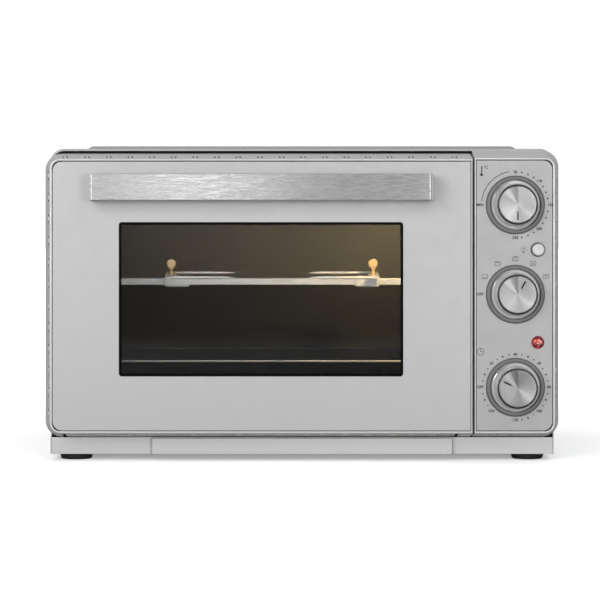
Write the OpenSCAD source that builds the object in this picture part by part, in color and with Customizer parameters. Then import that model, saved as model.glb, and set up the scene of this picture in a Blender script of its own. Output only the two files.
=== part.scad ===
// Countertop rotisserie oven.
// +Z up, the front faces -Y, +X to the right, millimetres.
// The origin is the middle of the footprint, on the surface that the feet stand on.

/* [Overall] */
// Width across the rear edges of the door and control rims
body_w = 530; // [480:5:640]
// Height of the cabinet's top sheet above the table
body_h = 322; // [268:1:390]
// Depth of the cabinet, from its front frame to its back panel
cabinet_d = 355; // [335:5:430]
// Height of the rubber feet
foot_h = 6.5; // [4:0.5:12]
// Height of the plinth strip under the door
plinth_h = 17.5; // [17:0.5:30]
// Thickness of the cabinet's and the liner's sheet steel
sheet_t = 1; // [0.8:0.1:1.4]
// How much narrower the cabinet is than the rims, each side
cabinet_inset = 5; // [4:0.5:8]

/* [Cabinet] */
// Radius of the cabinet's top corners
cabinet_r = 14; // [6:1:24]
// Height of the pressed field on the cabinet's top
top_press_h = 3.4; // [2:0.1:6]
// Distance from the cabinet's side to the pressed field
top_press_side = 36; // [25:1:60]
// Distance from the cabinet's front and back to the pressed field
top_press_end = 14; // [8:1:40]
// Length of the vent slots
vent_l = 46; // [20:1:80]
// Width of the vent slots
vent_w = 3; // [2:0.5:5]
// Distance between vent slots
vent_pitch = 9; // [6:0.5:14]
// Depth of the rear spacers
spacer_d = 12; // [8:1:25]

/* [Rims] */
// Depth of the door from its lip to its rear edge
door_d = 31; // [28:0.5:36]
// Gap between the door's rear edge and the cabinet
door_gap = 2; // [1.8:0.1:3]
// Widening of a rim from lip to rear edge, at the side
flare_side = 7.2; // [3:0.1:10]
// Drop of a rim from lip to rear edge, along the bottom
flare_bottom = 5.6; // [3:0.1:7]
// Rise of the door's rim from lip to rear edge, along the top
flare_top = 6.3; // [3:0.1:7]
// Height of the door's rear top edge below the cabinet's top
door_top_drop = 5.1; // [3:0.1:9]
// Height of the control rim's rear top edge below the cabinet's top
control_top_drop = 1.8; // [0.5:0.1:5]
// Rise of the control rim along its top
control_flare_top = 8.4; // [3:0.1:10]
// Gap between the plinth's top and the rims' lower rear edge
rim_rise = 0.7; // [0.5:0.1:3]
// Thickness of the rims' sheet
rim_t = 1.2; // [1:0.1:2]
// Width of the bright lip around each face
lip_w = 2.6; // [2:0.1:5]
// Radius of the lip's outer corners
lip_r = 10.5; // [6:0.5:16]
// Radius of the corners at the rims' rear edge
rim_r = 17; // [10:0.5:24]
// Gap between the door and the control panel
split_gap = 2; // [1.5:0.1:4]
// Width of the control panel across its rear edge
control_w = 89.6; // [86:0.1:120]
// Distance between the notches along a rim
notch_pitch = 22.1; // [16:0.1:40]
// Width of a notch
notch_w = 5.4; // [3:0.1:10]
// Length of a notch from front to back
notch_l = 14; // [6:0.5:16]
// Distance from the lip's front to a notch
notch_y = 4.6; // [4:0.1:10]

/* [Door] */
// Thickness of the face sheets
face_t = 1.2; // [1:0.1:2]
// How far the faces lie behind the lip
face_sink = 0.8; // [0.3:0.1:1.5]
// Gap between a face and its lip
face_gap = 0.5; // [0.3:0.1:1]
// Distance from the lip's side to the window, each side
window_side = 70.7; // [50:0.1:90]
// Distance from the lip's top to the window
window_top = 64.9; // [60:0.1:80]
// Distance from the lip's bottom to the window
window_bottom = 58.3; // [45:0.1:80]
// Radius of the window's corners
window_r = 3; // [1:0.5:8]
// Thickness of each window glass
glass_t = 3.2; // [3:0.1:5]
// Length of the handle strap
handle_w = 347.5; // [250:0.5:370]
// Height of the handle strap
handle_h = 26.6; // [18:0.1:34]
// How far the handle stands out from the lip
handle_out = 30; // [24:0.5:31]
// Thickness of the handle strap
handle_t = 3; // [2.4:0.1:5]
// Bend radius at the handle's ends
handle_r = 5; // [4:0.5:9]
// Distance from the lip's top to the middle of the handle
handle_drop = 29.7; // [24:0.1:38]

/* [Hinge] */
// Radius of the hinge pins
pin_r = 3; // [2.4:0.1:3.4]
// Radial clearance of pins and shafts in their bores
run_gap = 0.05; // [0.02:0.01:0.1]
// Distance of the hinge axis in front of the cabinet
hinge_in = 24; // [23:0.5:25]
// Height of the hinge axis above the rims' rear lower edge
hinge_up = 17.3; // [16:0.1:19]
// Radius of the curved stay arms
stay_r = 70; // [60:1:80]

/* [Controls] */
// Radius of the fixed ring around a dial
dial_ring_r = 29.9; // [27:0.1:30]
// Radius of a knob at its base
knob_r = 24.5; // [20:0.1:25]
// Radius of a knob at its front edge
knob_top_r = 20; // [16:0.1:24]
// Radius of the spun cap on a knob
knob_cap_r = 18.9; // [14:0.1:19]
// Height of a knob above the fascia
knob_h = 24; // [16:0.5:26]
// Radius of the control shafts
shaft_r = 3; // [2.5:0.1:3.5]
// Distance from the lip's right side to the dials' axis
dial_side = 40.9; // [38:0.1:50]
// Distance from the lip's top or bottom to the outer dials' axis
dial_end = 47.3; // [42:0.1:60]
// Radius of the light button
button_r = 6.2; // [4:0.1:8]
// Travel of the light button
button_travel = 3; // [1:0.5:3]
// Radius of the indicator lens
lens_r = 6.4; // [4:0.1:8]

/* [Cavity] */
// Space between the cabinet's side and the cavity, on the left
cavity_side = 33; // [30:1:50]
// Space between the door's right edge and the cavity
cavity_right_space = 30.4; // [26:0.1:40]
// Space between the cabinet's top and the cavity's roof
cavity_top_space = 22; // [18:1:40]
// Space between the cavity's back and the back panel
cavity_back_space = 20; // [12:1:40]
// Height of the cavity's floor above the plinth's top
floor_up = 21; // [18:1:30]
// Distance that the tray runners stand out from the walls
runner_out = 14; // [11:0.5:16]
// Height of the lowest runner's top above the floor
runner_up = 54.4; // [45:0.1:60]
// Distance between runner levels
runner_pitch = 52; // [46:1:56]
// Radius of the heater rods
heater_r = 3.5; // [3:0.1:5]

/* [Spit] */
// Side of the square spit rod
rod_w = 7; // [5:0.5:9]
// Turn of the spit at rest, in degrees
spit_turn = 7; // [0:1:20]
// Distance of the spit's axis behind the cabinet's front frame
spit_back = 177; // [165:1:185]
// Height of the spit's axis above the cavity's floor
spit_up = 137; // [120:1:140]
// Length of the fork prongs
prong_l = 66; // [40:1:90]
// Distance of each prong from the spit's axis, sideways
prong_side = 20; // [14:1:30]

/* [Trays] */
// Gap between the baking tray's rim and the cavity wall
tray_side_gap = 10; // [8.5:0.5:11]
// Height of the baking tray
tray_h = 19; // [12:0.5:26]
// Corner radius of the baking tray
tray_r = 32; // [15:1:45]
// Distance of the baking tray's front rim behind the cabinet's front
tray_front = 42; // [36:1:60]
// Width of the crumb tray's front
crumb_front_w = 311; // [240:1:330]
// How far the crumb tray's front stands out from the plinth
crumb_front_d = 6; // [3:0.5:8]

/* [Hidden] */

$fn = 64;
eps = 0.01; // overshoot of a cut past the face it opens
slit = 0.3; // gap between pieces that move past each other
fit_gap = 0.1; // gap around a fixed piece in its hole
corner_fn = 32; // facets of a rounded corner that is lofted
near_lip = 1.5; // width of a rim's lip beside the split

// Overall places along Y
overall_d = handle_out + door_d + door_gap + cabinet_d + spacer_d;
cab_y = -overall_d / 2 + handle_out + door_d + door_gap;
back_y = cab_y + cabinet_d;
rim_back_y = cab_y - door_gap;
lip_y = rim_back_y - door_d;
face_y = lip_y + face_sink;
face_back_y = face_y + face_t;

// Overall places along X
half_w = body_w / 2;
cab_half = half_w - cabinet_inset;
inner_half = cab_half - sheet_t;
lip_left = -half_w + flare_side;
lip_right = half_w - flare_side;
control_left = half_w - control_w;
door_right = control_left - split_gap;
door_mid = (lip_left + door_right) / 2;

// Overall places along Z
plinth_top = foot_h + plinth_h;
rim_z0 = plinth_top + rim_rise;
rim_z1 = body_h - door_top_drop;
lip_z0 = rim_z0 + flare_bottom;
lip_z1 = rim_z1 - flare_top;
control_z1 = body_h - control_top_drop;
control_lip_z1 = control_z1 - control_flare_top;
inner_top = body_h - sheet_t;
handle_z = lip_z1 - handle_drop;
handle_foot = 5.4; // thickness of the handle's feet

// Hinge: the door's lower rear edge swings past the cabinet's face, into a recess
pin_y = cab_y - hinge_in;
pin_z = rim_z0 + hinge_up;
sweep_clear = 1.5; // room around the swinging edge
sweep_r = norm([hinge_in - door_gap, hinge_up]);
recess_d = sweep_r - hinge_in + sweep_clear;
sill_z = pin_z + sqrt(pow(sweep_r, 2) - pow(hinge_in, 2)) + sweep_clear + 2;
arm_t = 3; // thickness of a hinge bracket's arm
arm_h = 9; // height of a hinge bracket's arm
eye_r = 6; // radius of a bracket's eye
ear_r = 6.4; // radius of the door's hinge ears
ear_t = 5; // thickness of a hinge ear
ear_gap = 0.6; // gap between an arm and the ears beside it
arm_gap = 1.2; // room around an arm in the slots that it passes
stay_t = 2; // thickness of a stay arm
stay_w = 8; // width of a stay arm
stay_tail = -20; // angle at which a stay arm ends, from the rear
stay_cross = acos((hinge_in - door_gap) / stay_r); // angle at the door's inner panel
hinge_x = [-cab_half + 16, door_right - 15.4];

// Cavity
liner_y = cab_y + recess_d + sheet_t;
cavity_left = -cab_half + cavity_side;
cavity_right = door_right - cavity_right_space;
cavity_back = back_y - cavity_back_space;
floor_z = plinth_top + floor_up;
roof_z = body_h - cavity_top_space;
mouth_z = sill_z + sheet_t;

// Spit and what drives it
spit_y = cab_y + spit_back;
spit_z = floor_z + spit_up;
rod_gap = 0.25; // gap between the rod and the square holes around it
socket_r = 9;
socket_in = 10; // how far the drive socket stands into the cavity
socket_l = 21;
stub_r = 4; // radius of the socket's stub shaft
stub_l = 18;
motor_w = 50;
motor_d = 24;
motor_x = cavity_right - socket_in + socket_l + 1;
journal_r = 3; // radius of the spit's turned end
rest_t = 9; // thickness of the spit rest
rest_w = 24;
fork_l = 26; // length of a fork's collar
fork_w = rod_w + 2 * rod_gap + 4;
fork_x = [door_mid - 108, door_mid + 130]; // outer ends of the two fork collars
plate_t = 2.4; // thickness of a fork's cross plate
prong_r = 1.7;
screw_r = 2; // radius of a fork screw's shank
screw_up = 20; // height of a fork screw's head above the spit's axis
screw_head_r = 5.5;

// Fan
fan_y = cavity_back - 62;
fan_z = roof_z - 95;
fan_r = 38;
fan_w = 14;
blade_n = 8;
fan_case_r = 46;
fan_case_d = 26;
fan_motor_r = 24;
fan_motor_d = 30;
fan_shaft_r = 3;

// Lamp
lamp_y = cab_y + 84;
lamp_z = roof_z - 45;
lamp_r = 16;
lamp_out = 12; // how far the lamp's glass stands into the cavity
lamp_base_d = 24;
lamp_seat = 6; // how far the lamp's glass reaches behind its wall
lamp_round = 8; // radius of the dome's edge

// Heaters
heater_y = [cab_y + 95, cavity_back - 60];
heater_z = [floor_z + 14, roof_z - 15];
seat_r = 7;
seat_out = 10; // how far a ceramic seat stands out behind its wall
seat_in = 2;

// Dials: the angle of each knob's pointer at rest is clockwise from the top
dial_x = lip_right - dial_side;
dial_z_low = lip_z0 + dial_end;
dial_z_high = lip_z1 - dial_end;
dial_z_mid = (dial_z_low + dial_z_high) / 2 + 1.9;
ring_h = 3;
knob_foot = 1; // gap between a knob's skirt and the fascia
cap_t = 2;
pointer = [180, 30, -64];
switch_w = 42;
switch_d = 19; // depth of the switch bodies behind their collars
collar_d = 3;
bush_r = 5;
button_x = dial_x + 22.9;
button_z = (dial_z_high + dial_z_mid) / 2;
lens_z = (dial_z_mid + dial_z_low) / 2 - 1.8;
button_out = 5.5; // how far the light button stands out from the fascia
collar_w = 1; // width of the dark collar around the light button
collar_out = 1.6;
lens_out = 2.6;
stem_r = 2.5;
stem_in = 4; // how far the light button's stem stands into its switch
light_switch_y = face_back_y + button_travel + 2;

// Trays
tray_x0 = cavity_left + tray_side_gap;
tray_x1 = cavity_right - tray_side_gap;
tray_y0 = cab_y + tray_front;
tray_y1 = cavity_back - 16;
tray_z1 = floor_z + runner_up + slit + 1.2;
tray_rim = 6; // width of the baking tray's flat rim
tray_draft = 6; // how far its walls slope in
tray_t = 1.2;
crumb_gap = 0.8; // room around the crumb tray in its opening
crumb_half = crumb_front_w / 2 - 5;
crumb_z0 = foot_h + sheet_t + 2;
crumb_h = plinth_h - 7.5;
crumb_l = cavity_back - 25 - cab_y;
crumb_front_h = plinth_h - 0.7;
chute_x0 = max(cavity_left + 30, -crumb_half + 6);
chute_x1 = min(cavity_right - 12, crumb_half - 6);
chute_y0 = liner_y + 22;
chute_y1 = cab_y + crumb_l - 8;

// Vents: how many slots a row has, where it starts and the heights of the rows
side_vent_n = 14;
side_vent_y = back_y - 160;
side_vent_z = [roof_z - 70, roof_z - 150];
back_vent_n = 22;
back_vent_x = -200;
back_vent_z = [roof_z - 80, roof_z - 150];
motor_vent_n = 7;
motor_vent_x = inner_half - 75;

// Fasteners and rear fittings
screw_head_h = 1.4;
screw_head = 3.4;
screw_shank = 1.6;
screw_l = 6;
foot_x = cab_half - 24.7;
foot_y = [cab_y + 24, back_y - 24];
foot_r = 17.2;
gland_x = cab_half - 55;
gland_z = plinth_top + 26;
gland_r = 8;
gland_bore = 3.8;
spacer_x = cab_half - 70;
spacer_z = roof_z - 189; // height of the rear spacers' middle
panel_z0 = foot_h + sheet_t;
inner_screws = [
    for (x = [lip_left + 30, door_mid, door_right - 34], z = [rim_z0 + 26, rim_z1 - 7]) [x, z]
];
back_screws = [
    for (x = [-inner_half + 12, 0, inner_half - 12], z = [panel_z0 + 10, inner_top - 14]) [x, z]
];

// A box from its two opposite corners
module span(a, b) {
    translate(a)
        cube(b - a);
}

// A cylinder along X, between two values of x
module rod_x(x0, x1, y, z, r) {
    translate([x0, y, z])
        rotate([0, 90, 0])
            cylinder(h = x1 - x0, r = r);
}

// A cylinder along Y, between two values of y
module rod_y(x, y0, y1, z, r) {
    translate([x, y1, z])
        rotate([90, 0, 0])
            cylinder(h = y1 - y0, r = r);
}

// A flat outline in x and z, drawn up by its thickness between two values of y
module sheet_y(y0, y1) {
    translate([0, y1, 0])
        rotate([90, 0, 0])
            linear_extrude(y1 - y0)
                children();
}

// A rectangle with round corners
module round_rect(x0, z0, x1, z1, r) {
    translate([x0 + r, z0])
        square([x1 - x0 - 2 * r, z1 - z0]);
    translate([x0, z0 + r])
        square([x1 - x0, z1 - z0 - 2 * r]);
    for (x = [x0 + r, x1 - r], z = [z0 + r, z1 - r])
        translate([x, z])
            circle(r);
}

// A rectangle whose two corners on one side are round; side is -1 for left and 1 for right
module half_round_rect(x0, z0, x1, z1, r, side) {
    far = side < 0 ? x0 + r : x1 - r;
    near = side < 0 ? x1 : x0;
    translate([min(far, near), z0])
        square([abs(near - far), z1 - z0]);
    translate([side < 0 ? x0 : far, z0 + r])
        square([r, z1 - z0 - 2 * r]);
    for (z = [z0 + r, z1 - r])
        translate([far, z])
            circle(r);
}

// A thin slice of a rim's outline, for the loft between its lip and its rear edge
module rim_slice(y, box, r, side) {
    sheet_y(y - eps, y)
        half_round_rect(box[0], box[1], box[2], box[3], r, side, $fn = corner_fn);
}

// The solid between a rim's lip outline and its rear outline, both shrunk by inset;
// it goes straight on behind the rear edge by extra
module rim_loft(y0, y1, front, back, inset, extra, side) {
    grow = [inset, inset, -inset, -inset];
    hull() {
        rim_slice(y0 + eps, front + grow, lip_r - inset, side);
        rim_slice(y1, back + grow, rim_r - inset, side);
        rim_slice(y1 + extra, back + grow, rim_r - inset, side);
    }
}

// A ring of sheet metal that flares from its lip to its rear edge
module rim(front, back, face, y1, side) {
    ledge = [3, 3, -3, -3];
    ledge_y = face_back_y + rim_t;
    difference() {
        rim_loft(lip_y, y1, front, back, 0, 0, side);
        intersection() {
            rim_loft(lip_y, y1, front, back, rim_t, 1, side);
            span([-body_w, ledge_y, 0], [body_w, y1 + 2, body_h]);
        }
        sheet_y(lip_y - 1, face_back_y)
            half_round_rect(face[0], face[1], face[2], face[3], lip_r - lip_w, side);
        sheet_y(lip_y, ledge_y + 1)
            half_round_rect(face[0] + ledge[0], face[1] + ledge[1],
                face[2] + ledge[2], face[3] + ledge[3], lip_r - lip_w - 3, side);
    }
}

// A row of notches through a rim's wall, along X
module notch_row_x(x0, x1, z, h) {
    count = floor((x1 - x0) / notch_pitch);
    start = (x0 + x1 - count * notch_pitch) / 2;
    for (i = [0 : count])
        span([start + i * notch_pitch - notch_w / 2, lip_y + notch_y, z],
            [start + i * notch_pitch + notch_w / 2, lip_y + notch_y + notch_l, z + h]);
}

// A row of notches through a rim's wall, along Z
module notch_row_z(z0, z1, x, w) {
    count = floor((z1 - z0) / notch_pitch);
    start = (z0 + z1 - count * notch_pitch) / 2;
    for (i = [0 : count])
        span([x, lip_y + notch_y, start + i * notch_pitch - notch_w / 2],
            [x + w, lip_y + notch_y + notch_l, start + i * notch_pitch + notch_w / 2]);
}

// The cabinet's outline in x and z, open at the bottom
module cabinet_outline(inset) {
    r = cabinet_r - inset;
    translate([-cab_half + inset, 0])
        square([2 * (cab_half - inset), body_h - inset - r]);
    translate([-cab_half + inset + r, 0])
        square([2 * (cab_half - inset - r), body_h - inset]);
    for (x = [-1, 1])
        translate([x * (cab_half - inset - r), body_h - inset - r])
            circle(r);
}

// The pressed field on the top, as an outline in x and z with sloped ends
module press_outline(inset) {
    x = cab_half - top_press_side - inset;
    z = body_h - sheet_t - inset;
    polygon([[-x, z], [x, z], [x - top_press_h * 1.6, z + top_press_h + sheet_t],
        [-x + top_press_h * 1.6, z + top_press_h + sheet_t]]);
}

// A row of vertical vent slots through a sheet that faces Y
module vents_y(x0, count, z, y) {
    for (i = [0 : count - 1])
        span([x0 + i * vent_pitch, y - 3, z], [x0 + i * vent_pitch + vent_w, y + 3, z + vent_l]);
}

module cabinet_shell() color("silver") {
    difference() {
        union() {
            sheet_y(cab_y, back_y)
                cabinet_outline(0);
            sheet_y(cab_y + top_press_end, back_y - top_press_end)
                press_outline(0);
        }
        sheet_y(cab_y - 1, back_y + 1)
            cabinet_outline(sheet_t);
        sheet_y(cab_y + top_press_end + sheet_t, back_y - top_press_end - sheet_t)
            press_outline(sheet_t);
        span([-body_w, cab_y - 1, -1], [body_w, back_y + 1, foot_h]);
        // room for the door's lower rear edge as it swings
        span([-body_w, cab_y - 1, plinth_top], [0, cab_y + recess_d, sill_z]);
        // vents on the control side
        for (i = [0 : side_vent_n - 1], z = side_vent_z)
            span([cab_half - 5, side_vent_y + i * vent_pitch, z],
                [cab_half + 5, side_vent_y + i * vent_pitch + vent_w, z + vent_l]);
    }
}

module back_panel() color("darkgray") difference() {
    intersection() {
        sheet_y(back_y - sheet_t, back_y)
            cabinet_outline(sheet_t + fit_gap);
        span([-body_w, back_y - 5, panel_z0], [body_w, back_y + 5, body_h]);
    }
    for (z = back_vent_z)
        vents_y(back_vent_x, back_vent_n, z, back_y);
    vents_y(motor_vent_x, motor_vent_n, back_vent_z[0], back_y);
    for (p = back_screws)
        rod_y(p[0], back_y - 5, back_y + 5, p[1], screw_shank + fit_gap);
    rod_y(gland_x, back_y - 5, back_y + 5, gland_z, gland_r + fit_gap);
}

module bottom_plate() color("darkgray") {
    span([-inner_half, cab_y + sheet_t, foot_h], [inner_half, back_y, foot_h + sheet_t]);
    // guide ribs beside the crumb tray
    for (x = [-1, 1])
        translate([x * (crumb_half + crumb_gap + 1), 0, 0])
            span([-1, cab_y + 20, foot_h + sheet_t], [1, cab_y + crumb_l, crumb_z0 + 5]);
}

module plinth() color("silver") difference() {
    union() {
        span([-inner_half, cab_y, foot_h], [inner_half, cab_y + sheet_t, plinth_top - fit_gap]);
        for (x = [-1, 1])
            translate([x * (inner_half - 0.5), 0, 0])
                span([-0.5, cab_y + sheet_t, foot_h + sheet_t + fit_gap],
                    [0.5, cab_y + 14, plinth_top - fit_gap]);
    }
    span([-crumb_half - crumb_gap, cab_y - 1, crumb_z0 - crumb_gap],
        [crumb_half + crumb_gap, cab_y + 5, crumb_z0 + crumb_h + crumb_gap]);
}

module front_frame() color("darkgray") difference() {
    rail_end = control_left - 1;
    union() {
        difference() {
            sheet_y(cab_y, cab_y + sheet_t)
                cabinet_outline(sheet_t + fit_gap);
            span([-body_w, cab_y - 1, -1], [body_w, cab_y + 5, plinth_top]);
            span([-body_w, cab_y - 1, 0], [rail_end, cab_y + 5, sill_z]);
        }
        // collar around the mouth of the cavity
        span([cavity_left - sheet_t, cab_y, sill_z], [cavity_right + sheet_t, liner_y, roof_z + sheet_t]);
        // sill, recessed rail and its ledge, and the recess's end
        span([-inner_half + fit_gap, cab_y, sill_z], [rail_end, liner_y, mouth_z]);
        span([-inner_half + fit_gap, liner_y - sheet_t, plinth_top], [rail_end, liner_y, mouth_z]);
        span([-inner_half + fit_gap, cab_y, plinth_top], [rail_end, liner_y, plinth_top + 0.8]);
        span([rail_end - sheet_t, cab_y, plinth_top], [rail_end, liner_y, mouth_z]);
    }
    span([cavity_left, cab_y - 1, mouth_z], [cavity_right, liner_y + 1, roof_z]);
    for (x = hinge_x) {
        // slots for the hinge brackets' arms and for the stay arms
        span([x - arm_t / 2 - fit_gap, cab_y - 1, pin_z - arm_h / 2 - fit_gap],
            [x + arm_t / 2 + fit_gap, liner_y + 1, pin_z + arm_h / 2 + fit_gap]);
        span([x - stay_t / 2 - arm_gap, cab_y - 1, pin_z + stay_r - 15],
            [x + stay_t / 2 + arm_gap, cab_y + sheet_t + 1, pin_z + stay_r + 4]);
    }
}

// Holes through a side wall of the cavity for the heater seats
module seat_holes(x) {
    for (y = heater_y, z = heater_z)
        rod_x(x - 5, x + 5, y, z, seat_r + fit_gap);
}

module cavity_left_wall() color("dimgray") difference() {
    span([cavity_left - sheet_t, liner_y, floor_z], [cavity_left, cavity_back, roof_z]);
    seat_holes(cavity_left);
}

module cavity_right_wall() color("dimgray") difference() {
    span([cavity_right, liner_y, floor_z], [cavity_right + sheet_t, cavity_back, roof_z]);
    seat_holes(cavity_right);
    rod_x(cavity_right - 5, cavity_right + 5, spit_y, spit_z, socket_r + 1);
    rod_x(cavity_right - 5, cavity_right + 5, lamp_y, lamp_z, lamp_r + fit_gap);
    // slots in front of the fan
    for (i = [-4 : 4])
        translate([0, fan_y + i * 8, fan_z])
            span([cavity_right - 5, -1.5, -28 + abs(i) * 2.5],
                [cavity_right + 5, 1.5, 28 - abs(i) * 2.5]);
}

module cavity_wrap() color("dimgray") {
    span([cavity_left - sheet_t, liner_y, roof_z], [cavity_right + sheet_t, cavity_back, roof_z + sheet_t]);
    span([cavity_left - sheet_t, cavity_back, floor_z],
        [cavity_right + sheet_t, cavity_back + sheet_t, roof_z + sheet_t]);
}

module cavity_floor() color("dimgray") difference() {
    union() {
        span([cavity_left - sheet_t, liner_y, floor_z - sheet_t],
            [cavity_right + sheet_t, cavity_back + sheet_t, floor_z]);
        // chute that leads crumbs down into their tray
        span([chute_x0 - sheet_t, chute_y0 - sheet_t, crumb_z0 + crumb_h + 1],
            [chute_x1 + sheet_t, chute_y1 + sheet_t, floor_z]);
    }
    span([chute_x0, chute_y0, 0], [chute_x1, chute_y1, floor_z + 1]);
}

module tray_runners() color("gray") {
    for (level = [0 : 2]) {
        z = floor_z + runner_up + level * runner_pitch;
        span([cavity_left, liner_y + 6, z - 5], [cavity_left + runner_out, cavity_back - 6, z]);
        span([cavity_right - runner_out, liner_y + 6, z - 5], [cavity_right, cavity_back - 6, z]);
    }
}

module control_frame() color("silver") difference() {
    front = [control_left, lip_z0, lip_right, control_lip_z1];
    back = [control_left, rim_z0, half_w, control_z1];
    rim(front, back, front + [near_lip, lip_w, -lip_w, -lip_w], cab_y, 1);
    notch_row_x(control_left + 12, half_w - rim_r, rim_z0 - 1, flare_bottom + 2 * rim_t);
    notch_row_z(rim_z0 + rim_r + 4, rim_z1 - rim_r - 2, half_w - flare_side - 2 * rim_t,
        flare_side + 2 * rim_t + 1);
}

// Everything that passes through the control fascia, made larger by gap
module fascia_holes(gap) {
    for (z = [dial_z_low, dial_z_mid, dial_z_high])
        rod_y(dial_x, lip_y - 5, cab_y, z, bush_r + gap);
    rod_y(button_x, lip_y - 5, cab_y, button_z, button_r + collar_w + gap);
    rod_y(button_x, lip_y - 5, cab_y, lens_z, lens_r + gap);
}

module control_fascia() color("lightgray") difference() {
    sheet_y(face_y, face_back_y)
        half_round_rect(control_left + near_lip + face_gap, lip_z0 + lip_w + face_gap,
            lip_right - lip_w - face_gap, control_lip_z1 - lip_w - face_gap,
            lip_r - lip_w - face_gap, 1);
    fascia_holes(fit_gap);
}

// A solid of revolution about Y that starts on the fascia and grows towards the front
module turned(x, z, profile) {
    translate([x, face_y, z])
        rotate([90, 0, 0])
            rotate_extrude()
                polygon(profile);
}

module control_bezels() color("dimgray") {
    inner = knob_r + 0.8;
    for (z = [dial_z_low, dial_z_mid, dial_z_high])
        turned(dial_x, z, [[inner, 0], [dial_ring_r, 0], [dial_ring_r, 0.8],
            [dial_ring_r - 1.4, ring_h], [inner + 0.8, ring_h], [inner, ring_h - 0.8]]);
    collar = button_r + collar_w;
    bore = button_r + run_gap;
    turned(button_x, button_z, [[bore, -face_t - 2], [collar, -face_t - 2],
        [collar, collar_out - 0.4], [collar - 0.4, collar_out], [bore, collar_out]]);
}

module indicator_lens() color("red")
    turned(button_x, lens_z, [[0, -face_t - 6], [lens_r - 1, -face_t - 6], [lens_r - 1, -face_t],
        [lens_r, -face_t], [lens_r, 0.8], [lens_r - 1.6, lens_out - 0.4], [0, lens_out]]);

// The body of a rotary switch: a block with a bush that holds the shaft
module switch_body(z, w, h) {
    difference() {
        union() {
            span([dial_x - w / 2, face_back_y + collar_d, z - h / 2],
                [dial_x + w / 2, face_back_y + collar_d + switch_d, z + h / 2]);
            rod_y(dial_x, face_back_y - face_t, face_back_y + collar_d + 1, z, bush_r);
            rod_y(dial_x, face_back_y, face_back_y + collar_d + 1, z, bush_r + 4);
        }
        rod_y(dial_x, lip_y, face_back_y + collar_d + switch_d - 3, z, shaft_r + run_gap);
    }
    for (x = [-1, 0, 1])
        translate([dial_x + x * w / 3, face_back_y + collar_d + switch_d, z])
            span([-3, 0, -0.4], [3, 5, 0.4]);
}

module thermostat() color("gainsboro")
    switch_body(dial_z_high, switch_w, 34);

module function_switch() color("ivory")
    switch_body(dial_z_mid, switch_w - 6, 38);

module timer() color("goldenrod")
    switch_body(dial_z_low, switch_w + 4, 48);

module light_switch() color("dimgray") difference() {
    span([button_x - 8, light_switch_y, button_z - 7],
        [button_x + 8, light_switch_y + 16, button_z + 7]);
    rod_y(button_x, light_switch_y - 1, light_switch_y + stem_in + button_travel + 1, button_z,
        stem_r + run_gap);
}

module heaters() color("darkgray")
    for (y = heater_y, z = heater_z)
        rod_x(cavity_left - seat_out - 8, cavity_right + seat_out + 8, y, z, heater_r);

module heater_seats() color("white")
    for (y = heater_y, z = heater_z, side = [-1, 1])
        difference() {
            x = side < 0 ? cavity_left : cavity_right;
            union() {
                rod_x(min(x - side * seat_in, x + side * seat_out),
                    max(x - side * seat_in, x + side * seat_out), y, z, seat_r);
                rod_x(min(x + side * sheet_t, x + side * 4), max(x + side * sheet_t, x + side * 4),
                    y, z, seat_r + 2);
            }
            rod_x(x - 20, x + 20, y, z, heater_r + fit_gap);
        }

module spit_motor() color("gray") difference() {
    half = motor_w / 2;
    union() {
        span([motor_x, spit_y - half, spit_z - half], [motor_x + motor_d, spit_y + half, spit_z + half]);
        // feet that bolt to the cavity's wall
        for (y = [-half, half - 6])
            span([cavity_right + sheet_t, spit_y + y, spit_z - 9], [motor_x, spit_y + y + 6, spit_z + 9]);
    }
    rod_x(motor_x - 1, motor_x + stub_l, spit_y, spit_z, stub_r + run_gap);
}

module spit_rest() color("silver") difference() {
    bore = journal_r + run_gap;
    span([cavity_left, spit_y - rest_w / 2, spit_z - 14],
        [cavity_left + rest_t, spit_y + rest_w / 2, spit_z + 9]);
    rod_x(cavity_left + 1, cavity_left + rest_t + 1, spit_y, spit_z, bore);
    span([cavity_left + 1, spit_y - bore, spit_z], [cavity_left + rest_t + 1, spit_y + bore, spit_z + 10]);
}

module fan_housing() color("dimgray") {
    x0 = cavity_right + sheet_t;
    x1 = x0 + fan_case_d;
    difference() {
        rod_x(x0, x1, fan_y, fan_z, fan_case_r);
        rod_x(x0 - 1, x1 - sheet_t, fan_y, fan_z, fan_case_r - sheet_t);
        rod_x(x0, x1 + 1, fan_y, fan_z, fan_shaft_r + 3);
    }
}

module fan_motor() color("gray") difference() {
    x0 = cavity_right + sheet_t + fan_case_d;
    rod_x(x0, x0 + fan_motor_d, fan_y, fan_z, fan_motor_r);
    rod_x(x0 - 1, x0 + fan_motor_d - 6, fan_y, fan_z, fan_shaft_r + run_gap);
}

module fan_wheel() color("silver") {
    x0 = cavity_right + sheet_t + 5;
    rod_x(x0, cavity_right + sheet_t + fan_case_d + fan_motor_d - 8, fan_y, fan_z, fan_shaft_r);
    rod_x(x0, x0 + fan_w, fan_y, fan_z, 9);
    rod_x(x0 + fan_w - 1, x0 + fan_w, fan_y, fan_z, fan_r - 6);
    for (i = [0 : blade_n - 1])
        translate([0, fan_y, fan_z])
            rotate([i * 360 / blade_n, 0, 0])
                span([x0, -0.6, 7], [x0 + fan_w, 0.6, fan_r]);
}

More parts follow.
